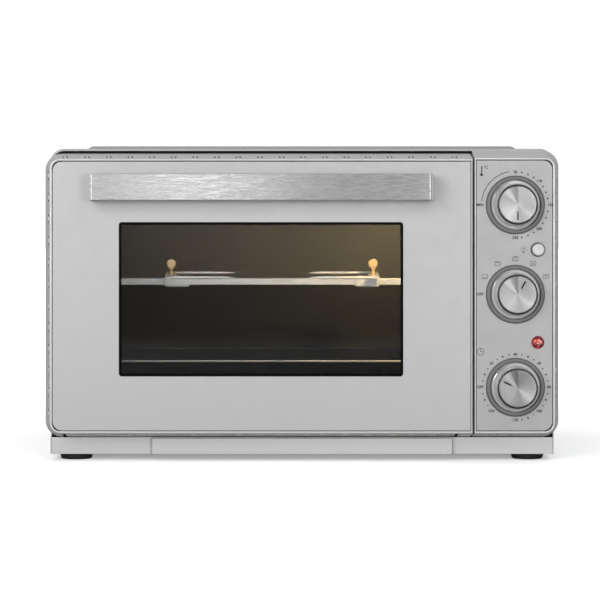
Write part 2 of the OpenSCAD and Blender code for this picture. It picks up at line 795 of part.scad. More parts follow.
// Dome of the lamp's glass, seated in the cavity's right wall
module lamp_glass() color("lightyellow") {
    length = lamp_seat + lamp_out;
    translate([cavity_right + lamp_seat, lamp_y, lamp_z])
        rotate([0, -90, 0])
            rotate_extrude()
                difference() {
                    union() {
                        square([lamp_r, length - lamp_round]);
                        translate([0, length - lamp_round])
                            square([lamp_r - lamp_round, lamp_round]);
                        intersection() {
                            translate([lamp_r - lamp_round, length - lamp_round])
                                circle(lamp_round);
                            square([lamp_r, length]);
                        }
                    }
                    translate([0, -1])
                        square([lamp_r - 2.4, lamp_out - 1.4]);
                }
}

module lamp_holder() color("ivory") {
    x0 = cavity_right + lamp_seat + fit_gap;
    rod_x(x0, x0 + lamp_base_d, lamp_y, lamp_z, 12);
    rod_x(x0, x0 + 2, lamp_y, lamp_z, lamp_r + 4);
    rod_x(x0 - 8, x0 + 1, lamp_y, lamp_z, 6);
}

module hinge_brackets() color("gray")
    for (x = hinge_x) {
        span([x - arm_t / 2, pin_y, pin_z - arm_h / 2], [x + arm_t / 2, liner_y + 1.5, pin_z + arm_h / 2]);
        span([x - 9, liner_y, pin_z - 12], [x + 9, liner_y + 1.5, pin_z + 12]);
        rod_x(x - arm_t / 2, x + arm_t / 2, pin_y, pin_z, eye_r);
        rod_x(x - arm_t / 2 - ear_gap - ear_t, x + arm_t / 2 + ear_gap + ear_t, pin_y, pin_z, pin_r);
    }

module feet() color("black")
    for (x = [-foot_x, foot_x], y = foot_y)
        translate([x, y, 0]) {
            cylinder(h = 1.2, r1 = foot_r - 2.6, r2 = foot_r - 1.4);
            translate([0, 0, 1.2])
                cylinder(h = foot_h - 1.2, r1 = foot_r - 1.4, r2 = foot_r);
        }

module rear_spacers() color("black")
    for (x = [-1, 1])
        translate([x * spacer_x, back_y, spacer_z]) {
            span([-9, 0, -11], [9, spacer_d, 11]);
            span([-14, 0, -17], [14, 2, 17]);
        }

module cord_gland() color("black") difference() {
    union() {
        rod_y(gland_x, back_y - 8, back_y + 6, gland_z, gland_r);
        rod_y(gland_x, back_y, back_y + 3, gland_z, gland_r + 3);
    }
    rod_y(gland_x, back_y - 9, back_y + 7, gland_z, gland_bore);
}

// A pan-head screw along Y; its head faces the rear
module panel_screw(x, y, z) {
    rod_y(x, y, y + screw_head_h, z, screw_head);
    rod_y(x, y - screw_l, y + eps, z, screw_shank);
}

module cabinet_screws() color("silver")
    for (p = back_screws)
        panel_screw(p[0], back_y, p[1]);

module door_frame() color("silver") difference() {
    front = [lip_left, lip_z0, door_right, lip_z1];
    back = [-half_w, rim_z0, door_right, rim_z1];
    rim(front, back, front + [lip_w, lip_w, -near_lip, -lip_w], rim_back_y, -1);
    notch_row_x(-half_w + rim_r, door_right - 12, lip_z1 - 2 * rim_t, flare_top + 2 * rim_t + 1);
    notch_row_x(-half_w + rim_r, door_right - 12, rim_z0 - 1, flare_bottom + 2 * rim_t);
    notch_row_z(rim_z0 + rim_r + 4, rim_z1 - rim_r - 2, -half_w - 1, flare_side + 2 * rim_t + 1);
    // slots that the hinge brackets' arms pass as the door swings
    for (x = hinge_x)
        span([x - arm_t / 2 - ear_gap, pin_y - eye_r - arm_gap, rim_z0 - 1],
            [x + arm_t / 2 + ear_gap, rim_back_y + 1, pin_z]);
}

module door_face() color("lightgray") difference() {
    sheet_y(face_y, face_back_y)
        half_round_rect(lip_left + lip_w + face_gap, lip_z0 + lip_w + face_gap,
            door_right - near_lip - face_gap, lip_z1 - lip_w - face_gap,
            lip_r - lip_w - face_gap, -1);
    sheet_y(face_y - 1, face_back_y + 1)
        round_rect(lip_left + window_side, lip_z0 + window_bottom,
            door_right - window_side, lip_z1 - window_top, window_r);
    for (side = [-1, 1])
        rod_y(door_mid + side * (handle_w / 2 - 8), face_y - 1, face_back_y + 1, handle_z,
            screw_shank + fit_gap);
}

module window_glass() color("darkslategray", 0.5)
    sheet_y(face_back_y, face_back_y + glass_t)
        round_rect(lip_left + window_side - 12, lip_z0 + window_bottom - 10,
            door_right - window_side + 12, lip_z1 - window_top + 10, window_r + 2);

// The opening in the door's inner panel, made larger by grow on every side
module inner_opening(grow) {
    round_rect(lip_left + window_side - 14 - grow, lip_z0 + window_bottom - 12 - grow,
        door_right - window_side + 14 + grow, lip_z1 - window_top + 14 + grow, 6 + grow);
}

module door_inner_panel() color("gray") difference() {
    y1 = rim_back_y;
    y0 = y1 - sheet_t;
    gap = rim_t + slit;
    union() {
        sheet_y(y0, y1)
            half_round_rect(-half_w + gap, rim_z0 + gap, door_right - gap, rim_z1 - gap,
                rim_r - gap, -1);
        // frame on the front side, which holds the inner glass
        sheet_y(y0 - glass_t, y0)
            inner_opening(9);
    }
    sheet_y(y0 - glass_t - 1, y0)
        inner_opening(6 + fit_gap);
    sheet_y(y0 - 1, y1 + 1)
        inner_opening(0);
    for (x = hinge_x) {
        span([x - arm_t / 2 - ear_gap, y0 - 1, rim_z0 - 1],
            [x + arm_t / 2 + ear_gap, y1 + 1, pin_z + arm_h / 2 + arm_gap]);
        span([x - stay_t / 2 - fit_gap, y0 - 1, pin_z + stay_r * sin(stay_cross) - stay_w],
            [x + stay_t / 2 + fit_gap, y1 + 1, pin_z + stay_r * sin(stay_cross) + stay_w]);
    }
    for (p = inner_screws)
        rod_y(p[0], y0 - 1, y1 + 1, p[1], screw_shank + fit_gap);
}

module inner_glass() color("darkslategray", 0.5)
    sheet_y(rim_back_y - sheet_t - glass_t, rim_back_y - sheet_t)
        inner_opening(6);

module door_seal() color("dimgray") difference() {
    depth = door_gap - 0.4;
    inset = 4; // distance of the seal's outer edge from the hinge slots
    x0 = hinge_x[0] + arm_t / 2 + inset;
    x1 = hinge_x[1] - arm_t / 2 - inset;
    z1 = min(roof_z + 8, rim_z1 - 12);
    sheet_y(rim_back_y, rim_back_y + depth)
        round_rect(x0, sill_z - 4, x1, z1, 8);
    sheet_y(rim_back_y - 1, rim_back_y + depth + 1)
        round_rect(x0 + 5, sill_z + 1, x1 - 5, z1 - 5, 3);
}

module handle_bar() color("gainsboro") {
    depth = handle_out + face_sink;
    x0 = door_mid - handle_w / 2;
    x1 = door_mid + handle_w / 2;
    translate([0, 0, handle_z - handle_h / 2])
        linear_extrude(handle_h)
            difference() {
                translate([0, lip_y - handle_out])
                    round_rect(x0, 0, x1, depth + handle_r + 1, handle_r);
                translate([0, lip_y - handle_out])
                    round_rect(x0 + handle_t, handle_t, x1 - handle_t, depth + handle_r + 9,
                        handle_r - handle_t);
                translate([x0 - 1, face_y])
                    square([handle_w + 2, handle_r + 9]);
            }
    // feet that the screws pull against the door's face
    for (side = [-1, 1])
        difference() {
            translate([door_mid + side * (handle_w / 2 - 7), 0, handle_z])
                span([-6, face_y - handle_foot, -9], [6, face_y, 9]);
            rod_y(door_mid + side * (handle_w / 2 - 8), face_y - handle_foot - 1, face_y + 1, handle_z,
                screw_shank + fit_gap);
        }
}

module door_screws() color("silver") {
    for (p = inner_screws)
        panel_screw(p[0], rim_back_y, p[1]);
    for (side = [-1, 1])
        panel_screw(door_mid + side * (handle_w / 2 - 8), face_back_y, handle_z);
}

module stay_arms() color("gray")
    for (x = hinge_x) {
        translate([x, pin_y, pin_z])
            rotate([90, 0, 90])
                rotate([0, 0, stay_tail])
                    rotate_extrude(angle = stay_cross + 4 - stay_tail)
                        translate([stay_r - stay_w / 2, -stay_t / 2])
                            square([stay_w, stay_t]);
        // foot against the inner panel
        translate([x, rim_back_y - sheet_t, pin_z + stay_r * sin(stay_cross)])
            span([-7, -1.5, -stay_w - 5], [7, 0, stay_w + 5]);
    }

module hinge_ears() color("gray")
    for (x = hinge_x, side = [-1, 1])
        difference() {
            inner = arm_t / 2 + ear_gap;
            x0 = x + (side > 0 ? inner : -inner - ear_t);
            union() {
                rod_x(x0, x0 + ear_t, pin_y, pin_z, ear_r);
                span([x0, face_back_y + rim_t, pin_z - 5], [x0 + ear_t, pin_y, pin_z + 22]);
                span([x0, face_back_y, pin_z - 2], [x0 + ear_t, face_back_y + rim_t + eps, pin_z + 22]);
            }
            rod_x(x0 - 1, x0 + ear_t + 1, pin_y, pin_z, pin_r + run_gap);
        }

// Places its children on the spit, turned as the spit is at rest
module on_spit(x) {
    translate([x, spit_y, spit_z])
        rotate([spit_turn, 0, 0])
            children();
}

module spit_rod() color("gainsboro") {
    x0 = cavity_left + rest_t + 1.5;
    x1 = cavity_right - socket_in + socket_l - 4;
    rod_x(cavity_left + 2, x0 + 1, spit_y, spit_z, journal_r);
    on_spit(0)
        span([x0, -rod_w / 2, -rod_w / 2], [x1, rod_w / 2, rod_w / 2]);
}

module drive_socket() color("silver") {
    x0 = cavity_right - socket_in;
    hole = rod_w / 2 + rod_gap;
    difference() {
        rod_x(x0, x0 + socket_l, spit_y, spit_z, socket_r);
        on_spit(0)
            span([x0 - 1, -hole, -hole], [x0 + socket_l - 3, hole, hole]);
    }
    rod_x(x0 + socket_l - 1, motor_x + stub_l - 2, spit_y, spit_z, stub_r);
}

// A fork's collar, cross plate and prongs; it points along -X, or along +X if side is -1
module fork(x, side) {
    hole = rod_w / 2 + rod_gap;
    half = fork_w / 2;
    on_spit(x)
        mirror([side < 0 ? 1 : 0, 0, 0]) {
            difference() {
                span([-fork_l, -half, -half], [0, half, half]);
                span([-fork_l - 1, -hole, -hole], [1, hole, hole]);
                translate([-fork_l / 4, 0, 0])
                    cylinder(h = half + 1, r = screw_r + fit_gap);
            }
            difference() {
                span([-12, -prong_side - prong_r, half - eps], [0, prong_side + prong_r, half + plate_t]);
                translate([-fork_l / 4, 0, 0])
                    cylinder(h = half + plate_t + 1, r = screw_r + fit_gap);
            }
            for (y = [-prong_side, prong_side])
                translate([-11, y, half + plate_t / 2])
                    rotate([0, -90, 0]) {
                        cylinder(h = prong_l - 12, r = prong_r);
                        translate([0, 0, prong_l - 12])
                            cylinder(h = 12, r1 = prong_r, r2 = 0.4);
                    }
        }
}

// The thumbscrew of a fork: its shank ends just above the rod
module fork_screw(x, side) {
    on_spit(x)
        translate([-side * fork_l / 4, 0, 0]) {
            translate([0, 0, rod_w / 2 + rod_gap])
                cylinder(h = screw_up - rod_w / 2 - rod_gap - 2, r = screw_r);
            translate([0, 0, fork_w / 2 + plate_t + fit_gap])
                cylinder(h = 1.6, r = screw_r + 1.6);
            translate([0, 0, screw_up])
                rotate([90, 0, 0])
                    rotate_extrude()
                        polygon([[0, -1.5], [screw_head_r - 0.8, -1.5], [screw_head_r, -0.7],
                            [screw_head_r, 0.7], [screw_head_r - 0.8, 1.5], [0, 1.5]]);
        }
}

module left_fork() color("gainsboro")
    fork(fork_x[0], -1);

module left_fork_screw() color("burlywood")
    fork_screw(fork_x[0], -1);

module right_fork() color("gainsboro")
    fork(fork_x[1], 1);

module right_fork_screw() color("burlywood")
    fork_screw(fork_x[1], 1);

// A knob's skirt with the hub that grips its shaft
module knob(z) {
    rim_h = knob_h - cap_t;
    turned(dial_x, z, [[shaft_r, knob_foot + 4], [8, knob_foot + 4], [8, rim_h - 5],
        [knob_top_r - 3, rim_h - 5], [knob_r - 2.4, knob_foot], [knob_r, knob_foot],
        [knob_r, knob_foot + 2], [knob_top_r + 0.6, rim_h - 0.6], [knob_top_r, rim_h],
        [shaft_r, rim_h]]);
}

// A knob's cap: a dished disc with an inlaid pointer groove
module knob_cap(z, angle) {
    rim_h = knob_h - cap_t;
    difference() {
        turned(dial_x, z, [[0, rim_h], [knob_cap_r, rim_h], [knob_cap_r, knob_h - 0.5],
            [knob_cap_r - 0.5, knob_h], [0, knob_h - 0.3]]);
        translate([dial_x, face_y - knob_h, z])
            rotate([0, angle, 0])
                span([-0.6, -1, knob_cap_r * 0.45], [0.6, 0.9, knob_cap_r - 3]);
    }
}

module knob_shaft(z)
    rod_y(dial_x, face_y - knob_h + cap_t, face_back_y + collar_d + switch_d - 4, z, shaft_r);

module temperature_knob() color("silver")
    knob(dial_z_high);

module temperature_cap() color("white")
    knob_cap(dial_z_high, pointer[0]);

module temperature_shaft() color("gray")
    knob_shaft(dial_z_high);

module function_knob() color("silver")
    knob(dial_z_mid);

module function_cap() color("white")
    knob_cap(dial_z_mid, pointer[1]);

module function_shaft() color("gray")
    knob_shaft(dial_z_mid);

module timer_knob() color("silver")
    knob(dial_z_low);

module timer_cap() color("white")
    knob_cap(dial_z_low, pointer[2]);

module timer_shaft() color("gray")
    knob_shaft(dial_z_low);

module light_button() color("white") {
    turned(button_x, button_z, [[0, -2], [button_r, -2], [button_r, button_out - 0.8],
        [button_r - 0.8, button_out], [0, button_out]]);
    rod_y(button_x, face_y + 1.5, light_switch_y + stem_in, button_z, stem_r);
}

module crumb_tray() color("silver") {
    z1 = crumb_z0 + crumb_h;
    front_y = cab_y - crumb_front_d;
    y1 = cab_y + crumb_l;
    difference() {
        span([-crumb_half, cab_y - slit - 1.2, crumb_z0], [crumb_half, y1, z1]);
        span([-crumb_half + 1, cab_y + 6, crumb_z0 + 1], [crumb_half - 1, y1 - 1, z1 + 1]);
    }
    difference() {
        span([-crumb_front_w / 2, front_y, foot_h],
            [crumb_front_w / 2, cab_y - slit, foot_h + crumb_front_h]);
        span([-crumb_half - 4, front_y + 1.2, foot_h - 1], [crumb_half + 4, cab_y - slit - 1.2,
            foot_h + crumb_front_h - 1.2]);
    }
}

// A baking tray's outline in x and y, drawn in by inset
module tray_outline(inset) {
    round_rect(tray_x0 + inset, tray_y0 + inset, tray_x1 - inset, tray_y1 - inset, tray_r - inset);
}

module tray_slice(z, inset) {
    translate([0, 0, z])
        linear_extrude(eps)
            tray_outline(inset, $fn = corner_fn);
}

module baking_tray() color("dimgray") {
    z0 = tray_z1 - tray_h;
    difference() {
        union() {
            translate([0, 0, tray_z1 - tray_t])
                linear_extrude(tray_t)
                    tray_outline(0, $fn = corner_fn);
            hull() {
                tray_slice(tray_z1 - tray_t, tray_rim);
                tray_slice(z0, tray_rim + tray_draft);
            }
        }
        hull() {
            tray_slice(tray_z1 + eps, tray_rim + tray_t);
            tray_slice(z0 + tray_t, tray_rim + tray_draft + tray_t);
        }
    }
}

cabinet_shell();
back_panel();
bottom_plate();
plinth();
front_frame();
cavity_left_wall();
cavity_right_wall();
cavity_wrap();
cavity_floor();
tray_runners();
control_frame();
control_fascia();
control_bezels();
indicator_lens();
thermostat();
function_switch();
timer();
light_switch();
heaters();
heater_seats();
spit_motor();
spit_rest();
fan_motor();
fan_housing();
lamp_glass();
lamp_holder();
hinge_brackets();
feet();
rear_spacers();
cord_gland();
cabinet_screws();
door_frame();
door_face();
window_glass();
door_inner_panel();
inner_glass();
door_seal();
handle_bar();
door_screws();
stay_arms();
hinge_ears();
spit_rod();
drive_socket();
left_fork();
left_fork_screw();
right_fork();
right_fork_screw();
fan_wheel();
temperature_knob();
temperature_cap();
temperature_shaft();
function_knob();
function_cap();
function_shaft();
timer_knob();
timer_cap();
timer_shaft();
light_button();
crumb_tray();
baking_tray();
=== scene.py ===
"""Looks of a countertop rotisserie oven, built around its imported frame.

Pieces are shaped in millimetres at their places in the row frame, and scaled to metres as they are finished.
"""

import functools
import logging
import math
from dataclasses import dataclass, field
from enum import Enum
from typing import Callable, Optional, Sequence

import bpy
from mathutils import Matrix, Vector


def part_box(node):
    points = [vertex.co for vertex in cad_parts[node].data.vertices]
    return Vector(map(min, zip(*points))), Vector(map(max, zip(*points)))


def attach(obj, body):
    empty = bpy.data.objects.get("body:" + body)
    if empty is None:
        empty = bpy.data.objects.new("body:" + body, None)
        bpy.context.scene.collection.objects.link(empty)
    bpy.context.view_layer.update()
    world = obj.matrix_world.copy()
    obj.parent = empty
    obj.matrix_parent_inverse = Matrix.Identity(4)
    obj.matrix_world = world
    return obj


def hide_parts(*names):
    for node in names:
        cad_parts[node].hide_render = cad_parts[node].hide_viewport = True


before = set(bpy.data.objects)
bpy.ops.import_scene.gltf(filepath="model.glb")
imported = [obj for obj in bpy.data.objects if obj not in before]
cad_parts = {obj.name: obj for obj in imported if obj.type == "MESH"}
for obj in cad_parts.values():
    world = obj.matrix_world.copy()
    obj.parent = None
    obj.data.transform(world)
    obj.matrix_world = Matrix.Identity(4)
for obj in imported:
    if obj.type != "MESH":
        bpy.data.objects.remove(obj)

LOG = logging.getLogger("oven")
MM = 0.001
PRINT = 0.05  # thickness of print, in millimetres
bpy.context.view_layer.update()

Colour = tuple[float, float, float]
Place = tuple[float, float, float]
Piece = bpy.types.Object
Socket = bpy.types.NodeSocket
FaceTest = Callable[[Vector, Vector], bool]
Accents = Sequence[tuple["Finish", FaceTest]]


class Axis(Enum):
    """The three directions of the row frame."""

    X = (1.0, 0.0, 0.0)
    Y = (0.0, 1.0, 0.0)
    Z = (0.0, 0.0, 1.0)


class Side(Enum):
    """Which side of an outline has round corners."""

    LEFT = -1
    BOTH = 0
    RIGHT = 1


# ---------------------------------------------------------------- finishes


class NodeSheet:
    """A new material and short ways to add nodes to it."""

    def __init__(self, name: str) -> None:
        """Starts a material.

        Args:
            name: the material's name.
        """
        self.material = bpy.data.materials.new(name)
        self.material.use_nodes = True
        self.tree = self.material.node_tree
        self.shader = self.tree.nodes["Principled BSDF"]
        self.output = self.tree.nodes["Material Output"]

    def add(self, kind: str, settings: Optional[dict] = None, **values: object) -> bpy.types.Node:
        """Adds a node.

        Args:
            kind: the node's type after "ShaderNode".
            settings: the node's own properties.
            values: inputs by name, underscores for spaces; a socket is linked and a value is set.

        Returns:
            The node.
        """
        node = self.tree.nodes.new("ShaderNode" + kind)
        for key, value in (settings or {}).items():
            setattr(node, key, value)
        for key, value in values.items():
            self.plug(node.inputs[key.replace("_", " ")], value)
        return node

    def plug(self, socket: Socket, value: object) -> None:
        """Links a socket to another one, or sets its value.

        Args:
            socket: the input that is filled.
            value: another socket, or a plain value.
        """
        if isinstance(value, Socket):
            self.tree.links.new(value, socket)
        else:
            socket.default_value = value

    def place(self, scale: Place = (1, 1, 1), centre: Place = (0, 0, 0)) -> Socket:
        """Object coordinates about a centre in metres, stretched by a scale.

        Args:
            scale: the stretch along each axis.
            centre: the point that becomes the origin, in metres.

        Returns:
            The place as a vector.
        """
        point = self.add("TexCoord").outputs["Object"]
        moved = self.add("VectorMath", {"operation": "SUBTRACT"})
        self.plug(moved.inputs[0], point)
        moved.inputs[1].default_value = centre
        return self.add("Mapping", Vector=moved.outputs[0], Scale=scale).outputs[0]

    def noise(self, at: Socket, scale: float, detail: float = 2.0) -> Socket:
        """Noise between 0 and 1 at a place."""
        return self.add("TexNoise", Vector=at, Scale=scale, Detail=detail).outputs[0]

    def span(self, value: Socket, low: float, high: float,
             start: float = 0.3, end: float = 0.7) -> Socket:
        """Maps a value from start..end to low..high, clamped."""
        node = self.add("MapRange", Value=value, From_Min=start, From_Max=end, To_Min=low, To_Max=high)
        return node.outputs[0]

    def maths(self, kind: str, a: object, b: object = 0.0) -> Socket:
        """The result of a Math node on two inputs.

        Args:
            kind: the node's operation.
            a: its first input.
            b: its second input.

        Returns:
            The result.
        """
        node = self.add("Math", {"operation": kind})
        self.plug(node.inputs[0], a)
        self.plug(node.inputs[1], b)
        return node.outputs[0]

    def blend(self, share: object, a: object, b: object) -> Socket:
        """A colour between two colours; either is a colour or a socket.

        Args:
            share: how much of the second one shows.
            a: the first colour.
            b: the second colour.

        Returns:
            The colour.
        """
        node = self.add("Mix", {"data_type": "RGBA"})
        self.plug(node.inputs[0], share)
        for socket, colour in ((node.inputs[6], a), (node.inputs[7], b)):
            self.plug(socket, colour if isinstance(colour, Socket) else (*colour, 1.0))
        return node.outputs[2]

    def bump(self, height: Socket, strength: float, distance: float) -> None:
        """Gives the shader a bump from a height."""
        node = self.add("Bump", Height=height, Strength=strength, Distance=distance)
        self.plug(self.shader.inputs["Normal"], node.outputs[0])

    def show(self, share: object, a: bpy.types.Node, b: bpy.types.Node) -> None:
        """Shows a mix of two shaders on the surface: a where the share is 0, b where it is 1.

        Args:
            share: how much of the second shader shows.
            a: the first shader.
            b: the second shader.
        """
        mix = self.add("MixShader", Fac=share)
        self.plug(mix.inputs[1], a.outputs[0])
        self.plug(mix.inputs[2], b.outputs[0])
        self.plug(self.output.inputs["Surface"], mix.outputs[0])

    def dress(self, **values: object) -> None:
        """Sets the shader's inputs by name, underscores for spaces."""
        for key, value in values.items():
            if isinstance(value, tuple) and len(value) == 3:
                value = (*value, 1.0)
            self.plug(self.shader.inputs[key.replace("_", " ")], value)


class WorldSheet(NodeSheet):
    """A new world, set on the scene, with the same short ways to add nodes."""

    def __init__(self, name: str) -> None:
        """Starts a world.

        Args:
            name: the world's name.
        """
        world = bpy.data.worlds.new(name)
        bpy.context.scene.world = world
        world.use_nodes = True
        self.tree = world.node_tree
        self.tree.nodes.clear()
        self.output = self.add("OutputWorld")


def shade(colour: Colour, factor: float) -> Colour:
    """A colour made lighter or darker by a factor."""
    return tuple(min(1.0, c * factor) for c in colour)


@dataclass(frozen=True)
class Finish:
    """A finish: the record slot that it belongs to, its colour and its roughness."""

    slot: str
    colour: Colour
    roughness: float = 0.5

    def wire(self, sheet: NodeSheet) -> None:
        """Wires the finish's nodes.

        Args:
            sheet: the sheet of the new material.
        """
        raise NotImplementedError

    @functools.lru_cache(maxsize=None)
    def material(self) -> bpy.types.Material:
        """The finish's material, made once."""
        sheet = NodeSheet(f"{self.slot}_{type(self).__name__.lower()}")
        self.wire(sheet)
        return sheet.material


@dataclass(frozen=True)
class Satin(Finish):
    """Satin silver lacquer or bead-blasted sheet: fine metallic flake under an even sheen."""

    metallic: float = 0.3
    flake: float = 0.05

    def wire(self, sheet: NodeSheet) -> None:
        """Wires fine flake, broad colour drift and a faint orange peel.

        Args:
            sheet: the sheet of the new material.
        """
        at = sheet.place()
        flake = sheet.noise(at, 2600, 1)
        drift = sheet.noise(at, 7, 2)
        base = sheet.blend(sheet.span(flake, 0, 1), shade(self.colour, 1 - self.flake),
                           shade(self.colour, 1 + self.flake))
        base = sheet.blend(sheet.span(drift, 0.0, 0.35), base, shade(self.colour, 1.03))
        sheet.dress(Base_Color=base, Metallic=self.metallic,
                    Roughness=sheet.span(sheet.noise(at, 60, 2), self.roughness - 0.03, self.roughness + 0.03))
        sheet.bump(sheet.noise(at, 420, 2), 0.05, 0.0002)


@dataclass(frozen=True)
class Brushed(Finish):
    """Brushed steel whose grain runs along one axis."""

    along: Axis = Axis.X
    depth: float = 0.10
    metallic: float = 0.85

    def wire(self, sheet: NodeSheet) -> None:
        """Wires stretched scratches into colour, roughness and bump.

        Args:
            sheet: the sheet of the new material.
        """
        stretch = tuple(60.0 if d else 800.0 for d in self.along.value)
        at = sheet.place(stretch)
        fine = sheet.noise(at, 1.0, 4)
        wide = sheet.noise(sheet.place(tuple(s / 6 for s in stretch)), 1.0, 2)
        base = sheet.blend(sheet.span(fine, 0, 1), shade(self.colour, 1 - self.depth),
                           shade(self.colour, 1 + self.depth))
        base = sheet.blend(sheet.span(wide, 0, 0.6), base, shade(self.colour, 1.06))
        across = Axis.X if self.along is Axis.Z else Axis.Z
        tangent = sheet.add("CombineXYZ", X=across.value[0], Y=0.0, Z=across.value[2])
        sheet.dress(Base_Color=base, Metallic=self.metallic, Anisotropic=0.7, Tangent=tangent.outputs[0],
                    Roughness=sheet.span(fine, self.roughness - 0.07, self.roughness + 0.08))
        sheet.bump(fine, 0.22, 0.0002)


@dataclass(frozen=True)
class Chrome(Finish):
    """Bright chromium plate with the faintest polishing haze."""

    def wire(self, sheet: NodeSheet) -> None:
        """Wires a slight haze in patches.

        Args:
            sheet: the sheet of the new material.
        """
        haze = sheet.noise(sheet.place(), 45, 3)
        sheet.dress(Base_Color=sheet.blend(haze, self.colour, shade(self.colour, 1.05)), Metallic=0.65,
                    Roughness=sheet.span(haze, self.roughness, self.roughness + 0.05))


@dataclass(frozen=True)
class SpunCap(Finish):
    """Aluminium disc turned on a lathe: fine circular grooves, with a painted sheen of light and dark cones round the
    disc.
    """

    centre: Place = (0.0, 0.0, 0.0)

    def wire(self, sheet: NodeSheet) -> None:
        """Wires circular grooves, conical streaks, the painted sheen cones and a sheen that follows the grooves.

        Args:
            sheet: the sheet of the new material.
        """
        at = sheet.place(centre=self.centre)
        parts = sheet.add("SeparateXYZ", Vector=at)
        x, z = parts.outputs[0], parts.outputs[2]
        radius = sheet.maths("SQRT", sheet.maths("ADD", sheet.maths("MULTIPLY", x, x),
                                                 sheet.maths("MULTIPLY", z, z)))
        angle = sheet.maths("ARCTAN2", x, z)
        ring = sheet.add("CombineXYZ", X=radius)
        grooves = sheet.noise(ring.outputs[0], 4200, 2)
        ray = sheet.add("CombineXYZ", X=angle)
        streaks = sheet.noise(ray.outputs[0], 9, 4)
        # painted sheen: light and dark cones by angle round the disc, put into the base colour
        ramp = sheet.add("ValToRGB", Fac=sheet.span(angle, 0.0, 1.0, -math.pi, math.pi))
        self._paint_sheen_cones(ramp.color_ramp)
        tone = sheet.blend(sheet.span(streaks, 0.0, 0.16), ramp.outputs[0], shade(self.colour, 0.92))
        tone = sheet.blend(sheet.span(grooves, 0.0, 0.14), tone, shade(self.colour, 0.5))
        tangent = sheet.add("Tangent", {"direction_type": "RADIAL", "axis": "Y"})
        sheet.dress(Base_Color=tone, Metallic=0.6, Anisotropic=0.5, Tangent=tangent.outputs[0],
                    Roughness=sheet.span(grooves, self.roughness - 0.04, self.roughness + 0.06))
        sheet.bump(grooves, 0.10, 0.00008)

    def _paint_sheen_cones(self, ramp: bpy.types.ColorRamp) -> None:
        """Sets the tones of the painted sheen cones round the disc, from the bottom clockwise."""
        tones = ((0.0, 0.62), (0.04, 0.72), (0.10, 1.04), (0.20, 0.98), (0.28, 0.80), (0.34, 0.60), (0.385, 1.0),
                 (0.42, 0.80), (0.44, 0.40), (0.495, 0.24), (0.505, 0.60), (0.60, 0.78), (0.70, 1.04), (0.80, 0.96),
                 (0.86, 1.12), (0.91, 0.76), (0.96, 0.55), (1.0, 0.62))
        while len(ramp.elements) < len(tones):
            ramp.elements.new(0.5)
        for element, (spot, tone) in zip(ramp.elements, tones):
            element.position = spot
            element.color = (*shade(self.colour, tone), 1.0)


@dataclass(frozen=True)
class Enamel(Finish):
    """Vitreous enamel with fine pale flecks; above a height it may turn to a second, paler tone: painted light above
    and painted shade below.
    """

    upper: Optional[Colour] = None
    turns_at: float = 0.0
    fleck: float = 0.35
    specular: float = 0.5

    def wire(self, sheet: NodeSheet) -> None:
        """Wires flecks, a faint orange peel and the painted change of tone between shade below and light above.

        Args:
            sheet: the sheet of the new material.
        """
        at = sheet.place()
        ground: object = self.colour
        # painted light and shade: the upper colour above turns_at, the darker colour below it
        if self.upper:
            height = sheet.add("SeparateXYZ", Vector=at).outputs[2]
            step = sheet.span(height, 0.0, 1.0, self.turns_at - 0.0008, self.turns_at + 0.0008)
            ground = sheet.blend(step, self.colour, self.upper)
        flecks = sheet.span(sheet.noise(at, 900, 2), 0.0, self.fleck, 0.66, 0.74)
        cloud = sheet.span(sheet.noise(at, 16, 3), 0.0, 0.3)
        base = sheet.blend(cloud, ground, shade(self.colour, 1.4) if not self.upper else ground)
        base = sheet.blend(flecks, base, (0.5, 0.5, 0.5))
        sheet.dress(Base_Color=base, Specular_IOR_Level=self.specular,
                    Roughness=sheet.span(sheet.noise(at, 70, 2), self.roughness - 0.05, self.roughness + 0.08))
        sheet.bump(sheet.noise(at, 260, 2), 0.10, 0.0003)


@dataclass(frozen=True)
class Moulded(Finish):
    """Moulded plastic, rubber, silicone or ceramic, with a fine spark-eroded grain."""

    grain: float = 700.0
    depth: float = 0.12
    gloss: float = 0.0
    specular: float = 0.5

    def wire(self, sheet: NodeSheet) -> None:
        """Wires the grain into bump and roughness, and uneven colour.

        Args:
            sheet: the sheet of the new material.
        """
        at = sheet.place()
        grain = sheet.noise(at, self.grain, 2)
        base = sheet.blend(sheet.noise(at, 22, 2), shade(self.colour, 0.93), shade(self.colour, 1.08))
        sheet.dress(Base_Color=base, Coat_Weight=self.gloss, Coat_Roughness=0.12, Specular_IOR_Level=self.specular,
                    Roughness=sheet.span(grain, self.roughness - 0.06, self.roughness + 0.06))
        sheet.bump(grain, self.depth, 0.0002)


@dataclass(frozen=True)
class Spangled(Finish):
    """Galvanised or aluminised sheet with faint crystal spangle."""

    metallic: float = 0.8

    def wire(self, sheet: NodeSheet) -> None:
        """Wires the spangle into colour and roughness.

        Args:
            sheet: the sheet of the new material.
        """
        at = sheet.place()
        cells = sheet.add("TexVoronoi", Vector=at, Scale=110.0)
        tone = sheet.add("SeparateColor", Color=cells.outputs["Color"]).outputs[0]
        base = sheet.blend(tone, shade(self.colour, 0.86), shade(self.colour, 1.1))
        sheet.dress(Base_Color=base, Metallic=self.metallic,
                    Roughness=sheet.span(tone, self.roughness - 0.07, self.roughness + 0.07, 0, 1))
        sheet.bump(sheet.noise(at, 300, 2), 0.06, 0.0002)


@dataclass(frozen=True)
class Sheath(Finish):
    """Heater sheath: steel that heat has turned uneven and dull."""

    def wire(self, sheet: NodeSheet) -> None:
        """Wires blotches of heat tint.

        Args:
            sheet: the sheet of the new material.
        """
        at = sheet.place()
        blotch = sheet.noise(at, 38, 4)
        base = sheet.blend(sheet.span(blotch, 0, 1), self.colour, (0.16, 0.13, 0.10))
        sheet.dress(Base_Color=base, Metallic=0.6, Roughness=sheet.span(blotch, self.roughness, 0.62))
        sheet.bump(sheet.noise(at, 800, 2), 0.15, 0.0002)


